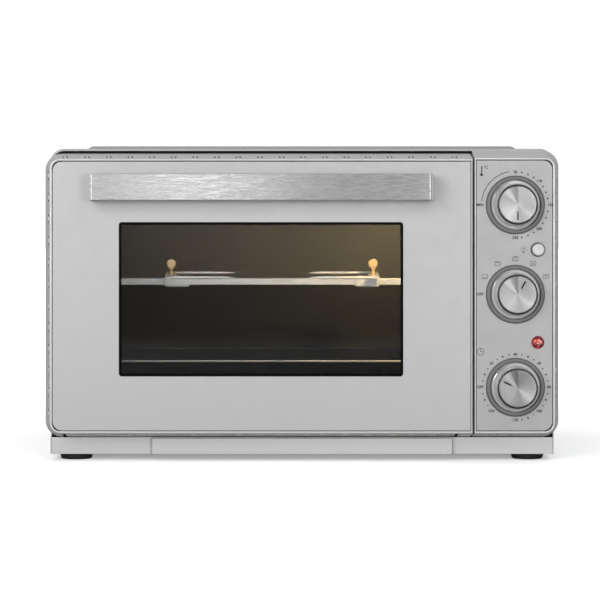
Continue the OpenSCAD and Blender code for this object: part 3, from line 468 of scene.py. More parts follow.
@dataclass(frozen=True)
class Pane(Finish):
    """Flat glass: a tint that lets most light through, and a soft reflection."""

    shine: float = 0.05

    def wire(self, sheet: NodeSheet) -> None:
        """Wires a tinted clear layer under a faint gloss with slight wiping marks.

        Args:
            sheet: the sheet of the new material.
        """
        wipe = sheet.span(sheet.noise(sheet.place((6, 6, 30)), 4, 2), self.roughness, self.roughness + 0.04)
        clear = sheet.add("BsdfTransparent", Color=(*self.colour, 1.0))
        gloss = sheet.add("BsdfGlossy", Color=(1.0, 1.0, 1.0, 1.0), Roughness=wipe)
        sheet.show(self.shine, clear, gloss)


@dataclass(frozen=True)
class Jewel(Finish):
    """Coloured moulded lens with facets behind a smooth face."""

    def wire(self, sheet: NodeSheet) -> None:
        """Wires facets into colour and bump.

        Args:
            sheet: the sheet of the new material.
        """
        cells = sheet.add("TexVoronoi", Vector=sheet.place(), Scale=420.0)
        facet = sheet.add("SeparateColor", Color=cells.outputs["Color"]).outputs[0]
        base = sheet.blend(sheet.span(facet, 0, 1, 0.2, 0.9), shade(self.colour, 0.45), (0.66, 0.05, 0.03))
        sheet.dress(Base_Color=base, Roughness=self.roughness, Coat_Weight=0.6, Coat_Roughness=0.06)
        sheet.bump(cells.outputs["Distance"], 0.35, 0.0006)


@dataclass(frozen=True)
class Glow(Finish):
    """Frosted lamp glass, lit from inside."""

    strength: float = 2.0

    def wire(self, sheet: NodeSheet) -> None:
        """Wires a warm light with a softly uneven frosting.

        Args:
            sheet: the sheet of the new material.
        """
        frost = sheet.noise(sheet.place(), 240, 2)
        glow = sheet.blend(frost, self.colour, shade(self.colour, 0.8))
        sheet.dress(Base_Color=self.colour, Roughness=self.roughness, Emission_Color=glow,
                    Emission_Strength=self.strength)


# one silver paint in two tones set part by part for how light falls: paler on the plinth, crumb tray and door's inner
# panel, darker on the shell and its hem (painted light and shade)
CABINET = Satin("silver_cabinet", (0.50, 0.50, 0.50), 0.42, 0.35)
SHELL = Satin("silver_cabinet", (0.35, 0.35, 0.35), 0.48, 0.2)
TRIM = Satin("silver_trim", (0.50, 0.50, 0.496), 0.38, 0.30, 0.03)
# a paler copy of the trim's silver for the rims' flared walls: painted light
PAINTED_LIT_RIM_WALL = Satin("silver_trim", (0.66, 0.66, 0.655), 0.42, 0.25, 0.03)
FACE = Satin("silver_face", (0.43, 0.43, 0.43), 0.46, 0.25)
FASCIA = Satin("fascia", (0.362, 0.357, 0.354), 0.46, 0.25)
STRAP = Brushed("brushed_strap", (0.36, 0.36, 0.36), 0.26, depth=0.03, metallic=0.55)
# a paler copy of the strap's steel for its bends: a painted highlight
STRAP_BEND_HIGHLIGHT = Satin("brushed_strap", (0.66, 0.66, 0.66), 0.36, 0.2, 0.03)
CHROME = Chrome("chrome_skirt", (0.82, 0.82, 0.82), 0.06)
DARK_RING = Satin("dark_ring", (0.125, 0.124, 0.123), 0.46, 0.3, 0.04)
BLACK_RING = Moulded("black_plastic", (0.008, 0.008, 0.008), 0.35, 900.0, 0.05)
WINDOW = Pane("window", (0.52, 0.52, 0.515), 0.03, 0.018)
CLEAR = Pane("clear_glass", (0.88, 0.89, 0.88), 0.04, 0.008)
FRIT = Moulded("black_plastic", (0.002, 0.002, 0.002), 0.60, 1200.0, 0.02, specular=0.04)
# black on the rims' ledges: a painted shadow in the gap around each face sheet
GAP_SHADE_BLACK = Moulded("black_plastic", (0.035, 0.035, 0.035), 0.60, 900.0, 0.05, specular=0.08)
INK = Moulded("black_plastic", (0.022, 0.022, 0.024), 0.60, 1500.0, 0.05, specular=0.08)
LINER = Enamel("liner_grey", (0.060, 0.060, 0.060), 0.42)
BLACK_ENAMEL = Enamel("liner_grey", (0.004, 0.004, 0.004), 0.50, fleck=0.02, specular=0.06)
TRAY_ENAMEL = Enamel("tray_enamel", (0.007, 0.0065, 0.006), 0.42, fleck=0.05, specular=0.05)
GALVANISED = Spangled("galvanised", (0.52, 0.53, 0.54), 0.42)
ROD = Satin("bare_steel", (0.74, 0.74, 0.75), 0.42, 0.45, 0.03)
# steel tinted orange: painted warm lamp light on the thumbscrews
LAMP_WARMED_STEEL = Satin("bare_steel", (0.60, 0.44, 0.24), 0.36, 0.5, 0.04)
# pale colour on the baking tray's rolled edge: a painted highlight
TRAY_EDGE_HIGHLIGHT = Satin("tray_enamel", (0.92, 0.90, 0.88), 0.34, 0.2, 0.04)
STEEL = Brushed("bare_steel", (0.62, 0.62, 0.61), 0.30, Axis.X, 0.08)
STEEL_UP = Brushed("bare_steel", (0.55, 0.55, 0.55), 0.34, Axis.Z, 0.08)
SHEATH = Sheath("heater_sheath", (0.07, 0.068, 0.066), 0.42)
CERAMIC = Moulded("ceramic", (0.80, 0.78, 0.72), 0.55, 500.0, 0.08)
SWITCH = Moulded("switch_plastic", (0.55, 0.52, 0.42), 0.5)
BLACK = Moulded("black_plastic", (0.016, 0.016, 0.017), 0.42)
RUBBER = Moulded("rubber", (0.010, 0.010, 0.010), 0.62, 420.0, 0.25)
SILICONE = Moulded("silicone", (0.05, 0.05, 0.052), 0.55, 380.0, 0.15)
WHITE = Moulded("white_button", (0.56, 0.56, 0.555), 0.38, 600.0, 0.05, 0.2)
RED = Jewel("red_lens", (0.36, 0.012, 0.010), 0.16)
LAMP_GLOW = Glow("clear_glass", (1.0, 0.72, 0.36), 0.3, 3.0)


# ---------------------------------------------------------------- the bench


@dataclass(frozen=True)
class Extent:
    """The box of a CAD node at rest, in millimetres."""

    low: Vector
    high: Vector

    @classmethod
    def of(cls, *nodes: str) -> "Extent":
        """The box around one or more nodes.

        Args:
            nodes: the CAD nodes' names.

        Returns:
            Their common box.
        """
        boxes = [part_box(node) for node in nodes]
        low = Vector([min(b[0][i] for b in boxes) for i in range(3)]) / MM
        high = Vector([max(b[1][i] for b in boxes) for i in range(3)]) / MM
        return cls(low, high)

    @property
    def centre(self) -> Vector:
        """The middle of the box."""
        return (self.low + self.high) / 2

    @property
    def size(self) -> Vector:
        """The lengths of the box's sides."""
        return self.high - self.low


@dataclass(frozen=True)
class Outline:
    """A rectangle in x and z at one y, with round corners."""

    x0: float
    z0: float
    x1: float
    z1: float
    y: float
    r: float
    side: Side = Side.BOTH

    def inset(self, edge: float, near: float, y: float) -> "Outline":
        """The outline shrunk by edge on its round sides and by near on its straight side, at another y.

        Args:
            edge: how far the round sides move in.
            near: how far the straight side moves in.
            y: where it lies.

        Returns:
            The smaller outline.
        """
        left = near if self.side is Side.RIGHT else edge
        right = near if self.side is Side.LEFT else edge
        return Outline(self.x0 + left, self.z0 + edge, self.x1 - right, self.z1 - edge, y,
                       max(self.r - edge, 0.3), self.side)

    def towards(self, other: "Outline", share: float, y: float) -> "Outline":
        """The outline part of the way to another one, at another y.

        Args:
            other: the outline at the far end.
            share: how much of the way, from 0 to 1.
            y: where it lies.

        Returns:
            The outline between.
        """
        mix = [a + (b - a) * share for a, b in
               zip((self.x0, self.z0, self.x1, self.z1, self.r), (other.x0, other.z0, other.x1, other.z1, other.r))]
        return Outline(mix[0], mix[1], mix[2], mix[3], y, mix[4], self.side)


def clear() -> None:
    """Deselects everything, out of edit mode."""
    if bpy.context.object and bpy.context.object.mode != "OBJECT":
        bpy.ops.object.mode_set(mode="OBJECT")
    bpy.ops.object.select_all(action="DESELECT")


def activate(piece: Piece, *others: Piece) -> None:
    """Selects only these pieces, the first one active.

    Args:
        piece: the piece that becomes active.
        others: further pieces to select.
    """
    clear()
    for one in (*others, piece):
        one.select_set(True)
    bpy.context.view_layer.objects.active = piece


def settle(piece: Piece) -> Piece:
    """Applies a piece's place, turn and scale to its mesh.

    Args:
        piece: the piece.

    Returns:
        The same piece.
    """
    activate(piece)
    bpy.ops.object.transform_apply(location=True, rotation=True, scale=True)
    return piece


def pick(piece: Piece, points: Optional[Callable[[Vector], bool]] = None,
         edges: Optional[FaceTest] = None,
         faces: Optional[FaceTest] = None) -> None:
    """Selects parts of a mesh by place and enters edit mode.

    Args:
        piece: the object.
        points: a test of a vertex's place.
        edges: a test of an edge's two ends.
        faces: a test of a face's centre and normal.
    """
    activate(piece)
    mesh = piece.data
    for items in (mesh.vertices, mesh.edges, mesh.polygons):
        items.foreach_set("select", [False] * len(items))
    bpy.context.tool_settings.mesh_select_mode = (bool(points), bool(edges), bool(faces))
    if points:
        for v in mesh.vertices:
            v.select = bool(points(v.co))
    if edges:
        for e in mesh.edges:
            e.select = bool(edges(*(mesh.vertices[i].co for i in e.vertices)))
    if faces:
        for f in mesh.polygons:
            f.select = bool(faces(f.center, f.normal))
    bpy.ops.object.mode_set(mode="EDIT")


def select_mesh(action: str = "SELECT") -> None:
    """Selects or deselects a whole mesh in edit mode."""
    bpy.ops.mesh.select_all(action=action)


def leave() -> None:
    """Goes back to object mode."""
    bpy.ops.object.mode_set(mode="OBJECT")


def drop(piece: Piece, kind: str, **tests: Callable[..., bool]) -> None:
    """Deletes the parts of a mesh that pass the tests of pick().

    Args:
        piece: the piece.
        kind: what is deleted, VERT or FACE.
        tests: the tests that pick() takes.
    """
    pick(piece, **tests)
    bpy.ops.mesh.delete(type=kind)
    leave()


def block(name: str, low: Place, high: Place) -> Piece:
    """A block between two corners.

    Args:
        name: the object's name.
        low: its lowest corner.
        high: its highest corner.

    Returns:
        The block, with its place in its mesh.
    """
    clear()
    a, b = Vector(low), Vector(high)
    bpy.ops.mesh.primitive_cube_add(size=1, location=(a + b) / 2)
    piece = bpy.context.object
    piece.name = name
    piece.scale = b - a
    return settle(piece)


def round_edges(piece: Piece, axis: Axis, radius: float, segments: int = 8,
                keep: Callable[[Vector], bool] = lambda middle: True) -> Piece:
    """Rounds the edges that run along an axis and whose middles pass a test.

    Args:
        piece: the piece.
        axis: the direction of the edges.
        radius: the radius of the rounding.
        segments: segments of each rounding.
        keep: the test of an edge's middle.

    Returns:
        The same piece.
    """
    way = Vector(axis.value)
    pick(piece, edges=lambda a, b: abs((b - a).normalized().dot(way)) > 0.99 and keep((a + b) / 2))
    bpy.ops.mesh.bevel(offset=radius, segments=segments, affect="EDGES", clamp_overlap=False)
    leave()
    return piece


def modify(piece: Piece, kind: str, **settings: object) -> Piece:
    """Gives a piece a modifier of a kind, with its settings, and applies it.

    Args:
        piece: the piece.
        kind: the modifier's type.
        settings: the modifier's own properties.

    Returns:
        The same piece.
    """
    activate(piece)
    change = piece.modifiers.new(kind.lower(), kind)
    for key, value in settings.items():
        setattr(change, key, value)
    bpy.ops.object.modifier_apply(modifier=change.name)
    return piece


def soften(piece: Piece, width: float, segments: int = 2, angle: float = 35.0) -> Piece:
    """Bevels every edge sharper than an angle, in degrees."""
    return modify(piece, "BEVEL", width=width, segments=segments, limit_method="ANGLE",
                  angle_limit=math.radians(angle), harden_normals=False)


def join(*pieces: Piece) -> Piece:
    """Joins pieces into the first one.

    Args:
        pieces: the pieces, the one that stays first.

    Returns:
        The joined piece.
    """
    if len(pieces) > 1:
        activate(*pieces)
        bpy.ops.object.join()
    return pieces[0]


def combine(piece: Piece, *others: Piece, add: bool = False) -> Piece:
    """Cuts other solids from a piece, or unites them with it, and removes them.

    Args:
        piece: the solid that is shaped.
        others: the solids that shape it.
        add: True to unite instead of cutting.

    Returns:
        The shaped piece.
    """
    tool = join(*others)
    modify(piece, "BOOLEAN", operation="UNION" if add else "DIFFERENCE", solver="EXACT", object=tool, use_self=True)
    bpy.data.objects.remove(tool)
    return piece


def repeat(piece: Piece, count: int, step: Place) -> Piece:
    """Copies a piece in a row, all in one mesh.

    Args:
        piece: the piece.
        count: how many there are in all.
        step: the move from one to the next.

    Returns:
        The row.
    """
    return modify(piece, "ARRAY", count=count, use_relative_offset=False, use_constant_offset=True,
                  constant_offset_displace=step)


def copy_of(piece: Piece, name: str, move: Place = (0, 0, 0)) -> Piece:
    """A copy of a piece with its own mesh, moved.

    Args:
        piece: the piece.
        name: the copy's name.
        move: where the copy goes from the piece.

    Returns:
        The copy.
    """
    activate(piece)
    bpy.ops.object.duplicate()
    twin = bpy.context.object
    twin.name = name
    twin.location = twin.location + Vector(move)
    return settle(twin)


def turned(name: str, profile: Sequence[tuple[float, float]], centre: Place, axis: Axis = Axis.Y,
           steps: int = 64, angle: float = 360.0, start: float = 0.0) -> Piece:
    """Spins a profile about an axis, as on a lathe.

    Args:
        name: the object's name.
        profile: radius and place along the axis, point by point.
        centre: a point on the axis; profile places along the axis are measured from it.
        axis: the direction of the axis.
        steps: segments of the spin.
        angle: degrees of the spin.
        start: degrees at which a part turn starts, clockwise from the top seen from the front.

    Returns:
        The turned piece.
    """
    middle, way = Vector(centre), Vector(axis.value)
    out = Vector((0, 0, 1)) if axis is not Axis.Z else Vector((1, 0, 0))
    spots = [middle + out * r + way * along for r, along in profile]
    clear()
    bpy.ops.mesh.primitive_plane_add(size=1, location=spots[0])
    piece = bpy.context.object
    piece.name = name
    settle(piece)
    bpy.ops.object.mode_set(mode="EDIT")
    bpy.context.tool_settings.mesh_select_mode = (True, False, False)
    select_mesh()
    bpy.ops.mesh.merge(type="CENTER")
    for a, b in zip(spots, spots[1:]):
        bpy.ops.mesh.extrude_vertices_move(TRANSFORM_OT_translate={"value": b - a})
    select_mesh()
    if start:
        bpy.ops.transform.rotate(value=math.radians(-start), orient_axis="Y", center_override=middle)
    bpy.ops.mesh.spin(steps=steps, angle=math.radians(-angle), center=middle, axis=way)
    select_mesh()
    bpy.ops.mesh.remove_doubles(threshold=0.002)
    if angle < 360:
        bpy.ops.mesh.fill_holes(sides=len(profile) + 1)
        select_mesh()
    bpy.ops.mesh.normals_make_consistent(inside=False)
    leave()
    return piece


def hoop(name: str, outlines: Sequence[Outline], closed: bool = True, segments: int = 8,
         capped: bool = False) -> Piece:
    """Bridges a run of rectangular loops into a wall.

    Args:
        name: the object's name.
        outlines: the loops in order.
        closed: True to bridge the last loop to the first.
        segments: segments of each round corner.
        capped: True to fill the first and the last loop.

    Returns:
        The piece.
    """
    loops = []
    for index, line in enumerate(outlines):
        clear()
        middle = ((line.x0 + line.x1) / 2, line.y, (line.z0 + line.z1) / 2)
        bpy.ops.mesh.primitive_plane_add(size=1, location=middle, rotation=(math.pi / 2, 0, 0))
        loop = bpy.context.object
        loop.scale = (line.x1 - line.x0, line.z1 - line.z0, 1)
        settle(loop)
        pick(loop, points=lambda p: line.side is Side.BOTH
             or (p.x < middle[0]) == (line.side is Side.LEFT))
        bpy.ops.mesh.bevel(offset=line.r, segments=segments, affect="VERTICES", clamp_overlap=False)
        select_mesh()
        bpy.ops.mesh.delete(type="ONLY_FACE")
        select_mesh()
        leave()
        group = loop.vertex_groups.new(name=f"loop{index}")
        group.add(list(range(len(loop.data.vertices))), 1.0, "REPLACE")
        loops.append(loop)
    piece = join(*loops)
    piece.name = name
    pairs = list(zip(range(len(loops)), range(1, len(loops)))) + ([(len(loops) - 1, 0)] if closed else [])
    bpy.ops.object.mode_set(mode="EDIT")
    bpy.context.tool_settings.mesh_select_mode = (True, False, False)
    for a, b in pairs:
        select_mesh("DESELECT")
        for index in (a, b):
            piece.vertex_groups.active_index = piece.vertex_groups[f"loop{index}"].index
            bpy.ops.object.vertex_group_select()
        bpy.ops.mesh.bridge_edge_loops()
    select_mesh()
    if capped:
        bpy.ops.mesh.fill_holes(sides=0)
        select_mesh()
    bpy.ops.mesh.normals_make_consistent(inside=False)
    leave()
    piece.vertex_groups.clear()
    return piece


def moved(piece: Piece, to: Place, tilt: float = 0.0, axis: Axis = Axis.X) -> Piece:
    """Tilts a piece about an axis, in degrees, and moves it.

    Args:
        piece: the piece.
        to: its new place.
        tilt: the turn, in degrees.
        axis: the axis of the turn.

    Returns:
        The same piece.
    """
    piece.rotation_euler = [math.radians(tilt) * d for d in axis.value]
    piece.location = to
    return settle(piece)


def screws(name: str, spots: Sequence[Place]) -> Piece:
    """Pan-head screws with a cross recess, whose heads face the rear.

    Args:
        name: the object's name.
        spots: where each head is seated.

    Returns:
        All the screws in one mesh.
    """
    profile = [(0, -6), (1.1, -6), (1.6, -5.2), (1.6, 0), (3.4, 0), (3.4, 0.45), (3.15, 0.85), (2.5, 1.2),
               (1.6, 1.36), (0, 1.4)]
    screw = turned(name, profile, (0, 0, 0), steps=32)
    combine(screw, block("cross", (-1.9, 0.5, -0.4), (1.9, 2, 0.4)), block("cross", (-0.4, 0.5, -1.9), (0.4, 2, 1.9)))
    others = [copy_of(screw, "screw", spot) for spot in spots]
    bpy.data.objects.remove(screw)
    whole = join(*others)
    whole.name = name
    return whole


def lettering(text: str, x: float, y: float, z: float, size: float) -> Piece:
    """Raised lettering that faces the front, centred on a point.

    Args:
        text: what it says.
        x: its middle across.
        y: its front.
        z: its middle in height.
        size: the height of its type.

    Returns:
        The lettering as a mesh.
    """
    clear()
    bpy.ops.object.text_add(location=(x, y, z), rotation=(math.pi / 2, 0, 0))
    piece = bpy.context.object
    piece.data.body, piece.data.size = text, size
    piece.data.align_x, piece.data.align_y = "CENTER", "CENTER"
    piece.data.extrude, piece.data.offset, piece.data.resolution_u = 0.03, 0.11, 3
    bpy.ops.object.convert(target="MESH")
    return settle(bpy.context.object)


def dot(x: float, y: float, z: float, r: float) -> Piece:
    """A printed dot that faces the front."""
    return turned("dot", [(0, 0), (r, 0), (r, PRINT), (0, PRINT)], (x, y, z), steps=14)


def band(inner: float, outer: float) -> list[tuple[float, float]]:
    """The profile of a printed ring between two radii."""
    return [(inner, 0), (outer, 0), (outer, PRINT), (inner, PRINT), (inner, 0)]


def finish(piece: Piece, coat: Finish, body: str, *nodes: str, angle: float = 32.0,
           accents: Accents = (),
           weigh: bool = True) -> Piece:
    """Cleans a piece's mesh, scales it to metres, dresses it and puts it on its body.

    Args:
        piece: the piece, in millimetres.
        coat: its finish.
        body: the body that it rides on.
        nodes: the CAD nodes that it stands for.
        angle: edges sharper than this stay sharp, in degrees.
        accents: other finishes, each with a test of a face's centre and normal.
        weigh: True to let large flat faces steer the shading of the bevels beside them.

    Returns:
        The finished piece.
    """
    piece.data.materials.clear()
    piece.data.materials.append(coat.material())
    for index, (other, test) in enumerate(accents, 1):
        piece.data.materials.append(other.material())
        for face in piece.data.polygons:
            if test(face.center, face.normal):
                face.material_index = index
    activate(piece)
    bpy.ops.object.mode_set(mode="EDIT")
    select_mesh()
    bpy.ops.mesh.remove_doubles(threshold=0.0005)
    bpy.ops.mesh.normals_make_consistent(inside=False)
    leave()
    piece.scale = (MM, MM, MM)
    settle(piece)
    bpy.ops.object.shade_smooth_by_angle(angle=math.radians(angle))
    if weigh:
        modify(piece, "WEIGHTED_NORMAL", mode="FACE_AREA", weight=60, keep_sharp=True)
    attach(piece, body)
    if nodes:
        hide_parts(*nodes)
    LOG.info("%s on %s: %d faces, %s", piece.name, body, len(piece.data.polygons), coat.slot)
    return piece


def add_light(name: str, kind: str, at: Vector, watts: float, turn: Place = (0, 0, 0), **settings: object) -> Piece:
    """Adds a light.

    Args:
        name: its name.
        kind: Blender's type of light.
        at: its place, in metres.
        watts: its power.
        turn: its rotation, in radians.
        settings: its data's other properties.

    Returns:
        The light.
    """
    clear()
    bpy.ops.object.light_add(type=kind, location=at, rotation=turn)
    light = bpy.context.object
    light.name = name
    light.data.energy = watts
    for key, value in settings.items():
        setattr(light.data, key, value)
    return light


def dress(coat: Finish, *nodes: str) -> None:
    """Gives CAD nodes that stay as they are a finish.

    Args:
        coat: the finish.
        nodes: the CAD nodes' names.
    """
    for node in nodes:
        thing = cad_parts[node]
        if not thing.material_slots:
            thing.data.materials.append(None)
        for slot in thing.material_slots:
            slot.material = coat.material()
        LOG.info("%s keeps its CAD shape, %s", node, coat.slot)


# ---------------------------------------------------------------- studio


@dataclass
class Studio:
    """The pale floor, the soft lights and the camera."""

    eye: Place = (-0.028, -2.385, 0.2215)
    lens: float = 129.6
    shift: tuple[float, float] = (0.0417, -0.09)
    floor_tone: float = 1.5
    floor_lift: float = 1.0
    bounce: float = 0.5
    backdrop: float = 1.05
    world_level: float = 0.42
    flag_dark: float = 0.02
    flag_blur: float = 0.02
    flags: tuple[tuple[Place, float], ...] = (((-0.50, -0.50, 0.71), 0.91), ((-0.87, -0.5, -0.03), 0.98),
                                              ((-0.77, -0.5, -0.41), 0.983))
    boxes: list[Piece] = field(default_factory=list)

    def build(self) -> None:
        """Makes the whole studio."""
        self._camera()
        self._floor()
        self._world()
        self._lights()

    def _camera(self) -> None:
        """Makes the level camera in front of the oven."""
        clear()
        bpy.ops.object.camera_add(location=self.eye, rotation=(math.pi / 2, 0, 0))
        camera = bpy.context.object
        camera.name = "camera"
        camera.data.lens, camera.data.sensor_width = self.lens, 36.0
        camera.data.shift_x, camera.data.shift_y = self.shift
        camera.data.clip_end = 400
        bpy.context.scene.camera = camera

    def _floor(self) -> None:
        """Makes the pale floor."""
        clear()
        bpy.ops.mesh.primitive_plane_add(size=1)
        floor = bpy.context.object
        floor.name = "floor"
        floor.scale = (300, 300, 1)
        settle(floor)
        sheet = NodeSheet("pale_floor")
        at = sheet.place()
        away = sheet.add("VectorMath", {"operation": "LENGTH"})
        sheet.plug(away.inputs[0], at)
        lift = sheet.span(away.outputs["Value"], 0.30, self.floor_lift, 0.42, 0.95)
        tone = sheet.blend(sheet.noise(at, 3, 2), (self.floor_tone,) * 3, (self.floor_tone * 1.02,) * 3)
        seen = sheet.add("BsdfDiffuse", Color=tone)
        glow = sheet.add("Emission", Color=(1.0, 1.0, 1.0, 1.0), Strength=lift)
        both = sheet.add("AddShader")
        sheet.plug(both.inputs[0], seen.outputs[0])
        sheet.plug(both.inputs[1], glow.outputs[0])
        dim = sheet.add("BsdfDiffuse", Color=(self.bounce, self.bounce, self.bounce, 1.0))
        sheet.show(sheet.add("LightPath").outputs["Is Camera Ray"], dim, both)
        floor.data.materials.append(sheet.material)

    def _world(self) -> None:
        """Makes a bright backdrop whose reflection is softer, with dark flags at the upper left."""
        sheet = WorldSheet("studio")
        way = sheet.add("TexCoord").outputs["Generated"]
        level: object = self.world_level
        for toward, edge in self.flags:
            facing = sheet.add("VectorMath", {"operation": "DOT_PRODUCT"})
            sheet.plug(facing.inputs[0], way)
            facing.inputs[1].default_value = Vector(toward).normalized()
            flag = sheet.span(facing.outputs["Value"], 1.0, self.flag_dark, edge, edge + self.flag_blur)
            level = sheet.maths("MULTIPLY", level, flag)
        soft = sheet.add("Background", Color=(0.98, 0.99, 1.0, 1), Strength=level)
        seen = sheet.add("Background", Color=(1, 1, 1, 1), Strength=self.backdrop)
        sheet.show(sheet.add("LightPath").outputs["Is Camera Ray"], soft, seen)

    def _lights(self) -> None:
        """Makes the soft boxes that the chrome mirrors."""
        self._soft_box("key", (-1.3, -2.6, 0.80), (0, 0, 0.16), 1.5, 40)
        self._soft_box("front", (0.9, -2.9, 0.34), (0, 0, 0.16), 0.64, 20)
        self._soft_box("kicker", (-0.2, -2.7, 0.48), (-0.05, 0, 0.2), 0.25, 3)
        self._soft_box("top", (0.0, -0.1, 2.0), (0, 0, 0.3), 1.5, 4)

    def shield(self, things: Sequence[Piece]) -> None:
        """Keeps the studio's own lights out of the cavity, which its lamps light.

        Args:
            things: the pieces of the cavity.
        """
        kept = bpy.data.collections.new("shielded")
        for thing in things:
            kept.objects.link(thing)
        for member in kept.collection_objects:
            member.light_linking.link_state = "EXCLUDE"
        for light in self.boxes:
            light.light_linking.receiver_collection = kept

    def _soft_box(self, name: str, at: Place, aim: Place, size: float, watts: float) -> None:
        """A square soft light that faces a point."""
        turn = (Vector(aim) - Vector(at)).to_track_quat("-Z", "Y").to_euler()
        self.boxes.append(add_light(name, "AREA", Vector(at), watts, turn, size=size))


# ---------------------------------------------------------------- rims and faces


@dataclass
class RimShape:
    """What the door's rim and the control panel's rim have in common, in millimetres."""

    lip: float = 2.6
    near_lip: float = 1.5
    sheet: float = 1.2
    lip_radius: float = 10.5
    rear_radius: float = 17.0
    face_sink: float = 0.8
    face_sheet: float = 1.2
    face_gap: float = 0.5
    pitch: float = 22.1
    lug: float = 5.0
    top_lug: float = 2.0
    slit: float = 2.3
    top_slit: float = 1.9
    lug_length: float = 13.0
    lug_back: float = 4.8
    lug_rise: float = 0.35
    corner: float = 1.8

    def front(self, face: Extent, side: Side) -> Outline:
        """The lip's outline around a face sheet.

        Args:
            face: the box of the face sheet.
            side: which side has round corners.

        Returns:
            The outline.
        """
        far, near = self.lip + self.face_gap, self.near_lip + self.face_gap
        left, right = (far, near) if side is Side.LEFT else (near, far)
        return Outline(face.low.x - left, face.low.z - far, face.high.x + right, face.high.z + far,
                       face.low.y - self.face_sink, self.lip_radius, side)

    def wall(self, name: str, front: Outline, back: Outline) -> Piece:
        """The rim's sheet, from its rear edge over the rounded lip to the ledge behind the face.

        Args:
            name: the piece's name.
            front: the lip's outline.
            back: the rear edge's outline.

        Returns:
            The sheet.
        """
        y = front.y
        ledge = y + self.face_sink + self.face_sheet
        deep = (ledge + self.sheet - y) / (back.y - y)
        return hoop(name, [
            back,
            front.towards(back, 0.05, y + 1.6),
            front.inset(0.0, 0.0, y + 0.9),
            front.inset(0.28, 0.2, y + 0.25),
            front.inset(0.9, 0.5, y),
            front.inset(self.lip - 0.8, self.near_lip - 0.5, y),
            front.inset(self.lip - 0.2, self.near_lip - 0.1, y + 0.3),
            front.inset(self.lip, self.near_lip, y + 0.9),
            front.inset(self.lip, self.near_lip, ledge),
            front.inset(self.lip + 3, self.near_lip + 3, ledge),
            front.inset(self.lip + 3, self.near_lip + 3, ledge + self.sheet),
            front.towards(back, deep, 0).inset(self.sheet, self.sheet, ledge + self.sheet),
            back.inset(self.sheet, self.sheet, back.y),
        ])

    @property
    def face_radius(self) -> float:
        """The corner radius of the face sheet inside the lip."""
        return self.lip_radius - self.lip - self.face_gap + self.corner

    def close(self, rim: Piece, body: str, node: str, front: Outline) -> None:
        """Finishes a rim: bright lip, the flared wall behind it painted paler as painted light, and a black painted
        shadow in the gap around the face.
        """
        finish(rim, TRIM, body, node, angle=40,
               accents=[(PAINTED_LIT_RIM_WALL, lambda c, n: c.y > front.y + 1.0), (GAP_SHADE_BLACK, self.seam(front))])

    def seam(self, front: Outline) -> FaceTest:
        """A test of whether a face of a rim lies in the shadow gap around the face sheet, where a black painted shadow
        goes.

        Args:
            front: the lip's outline.

        Returns:
            The test.
        """
        ledge = front.y + self.face_sink + self.face_sheet
        inner = front.inset(self.lip - 0.2, self.near_lip - 0.2, front.y)
        return lambda c, n: (ledge - 1.2 < c.y < ledge + 0.05 and inner.x0 < c.x < inner.x1
                             and inner.z0 < c.z < inner.z1)

    def spots(self, start: float, end: float) -> list[float]:
        """The places of the lugs in a row between two ends.

        Args:
            start: the row's first end.
            end: the row's last end.

        Returns:
            The places along the row.
        """
        count = math.floor((end - start) / self.pitch)
        first = (start + end - count * self.pitch) / 2
        return [first + i * self.pitch for i in range(count + 1)]

    def row(self, rim: Piece, places: Sequence[float], axis: Axis, foot: float,
            rear: float, y: float, depth: float, lug_width: float) -> Piece:
        """Lances a row of lugs into one wall of a rim.

        Args:
            rim: the rim.
            places: the middles of the lugs along the axis.
            axis: the direction of the row.
            foot: where the wall meets the lip, across the row.
            rear: where the wall ends at the rear, across the row.
            y: the lip's front.
            depth: the rim's depth.
            lug_width: the width of each lug.

        Returns:
            The rim with its row.
        """
        slope = math.atan2(rear - foot, depth)
        out = 1.0 if rear > foot else -1.0
        y0 = y + self.lug_back
        level = foot + math.tan(slope) * (self.lug_back + self.lug_length / 2)

        def bar(width: float, at: float, low: float, high: float) -> Piece:
            """A bar along the wall's slope; low and high are its reach across the wall.

            Args:
                width: its width along the row.
                at: its place along the row.
                low: its reach inwards.
                high: its reach outwards.

            Returns:
                The bar.
            """
            a, b = sorted((low * out, high * out))
            half = self.lug_length / 2
            if axis is Axis.X:
                piece = block("bar", (-width / 2, -half, a), (width / 2, half, b))
                piece.rotation_euler = (slope, 0, 0)
                piece.location = (at, y0 + half, level)
            else:
                piece = block("bar", (a, -half, -width / 2), (b, half, width / 2))
                piece.rotation_euler = (0, 0, -slope)
                piece.location = (level, y0 + half, at)
            return settle(piece)

        step = tuple(self.pitch * d for d in axis.value)
        slit = self.top_slit if lug_width == self.top_lug else self.slit
        shift = (lug_width + slit) / 2
        slits = [repeat(bar(slit, places[0] + s * shift, -2.6, 2.6), len(places), step) for s in (-1, 1)]
        combine(rim, *slits)
        lug = soften(bar(lug_width, places[0], -0.6, self.lug_rise), 0.45, 2)
        return join(rim, repeat(lug, len(places), step))


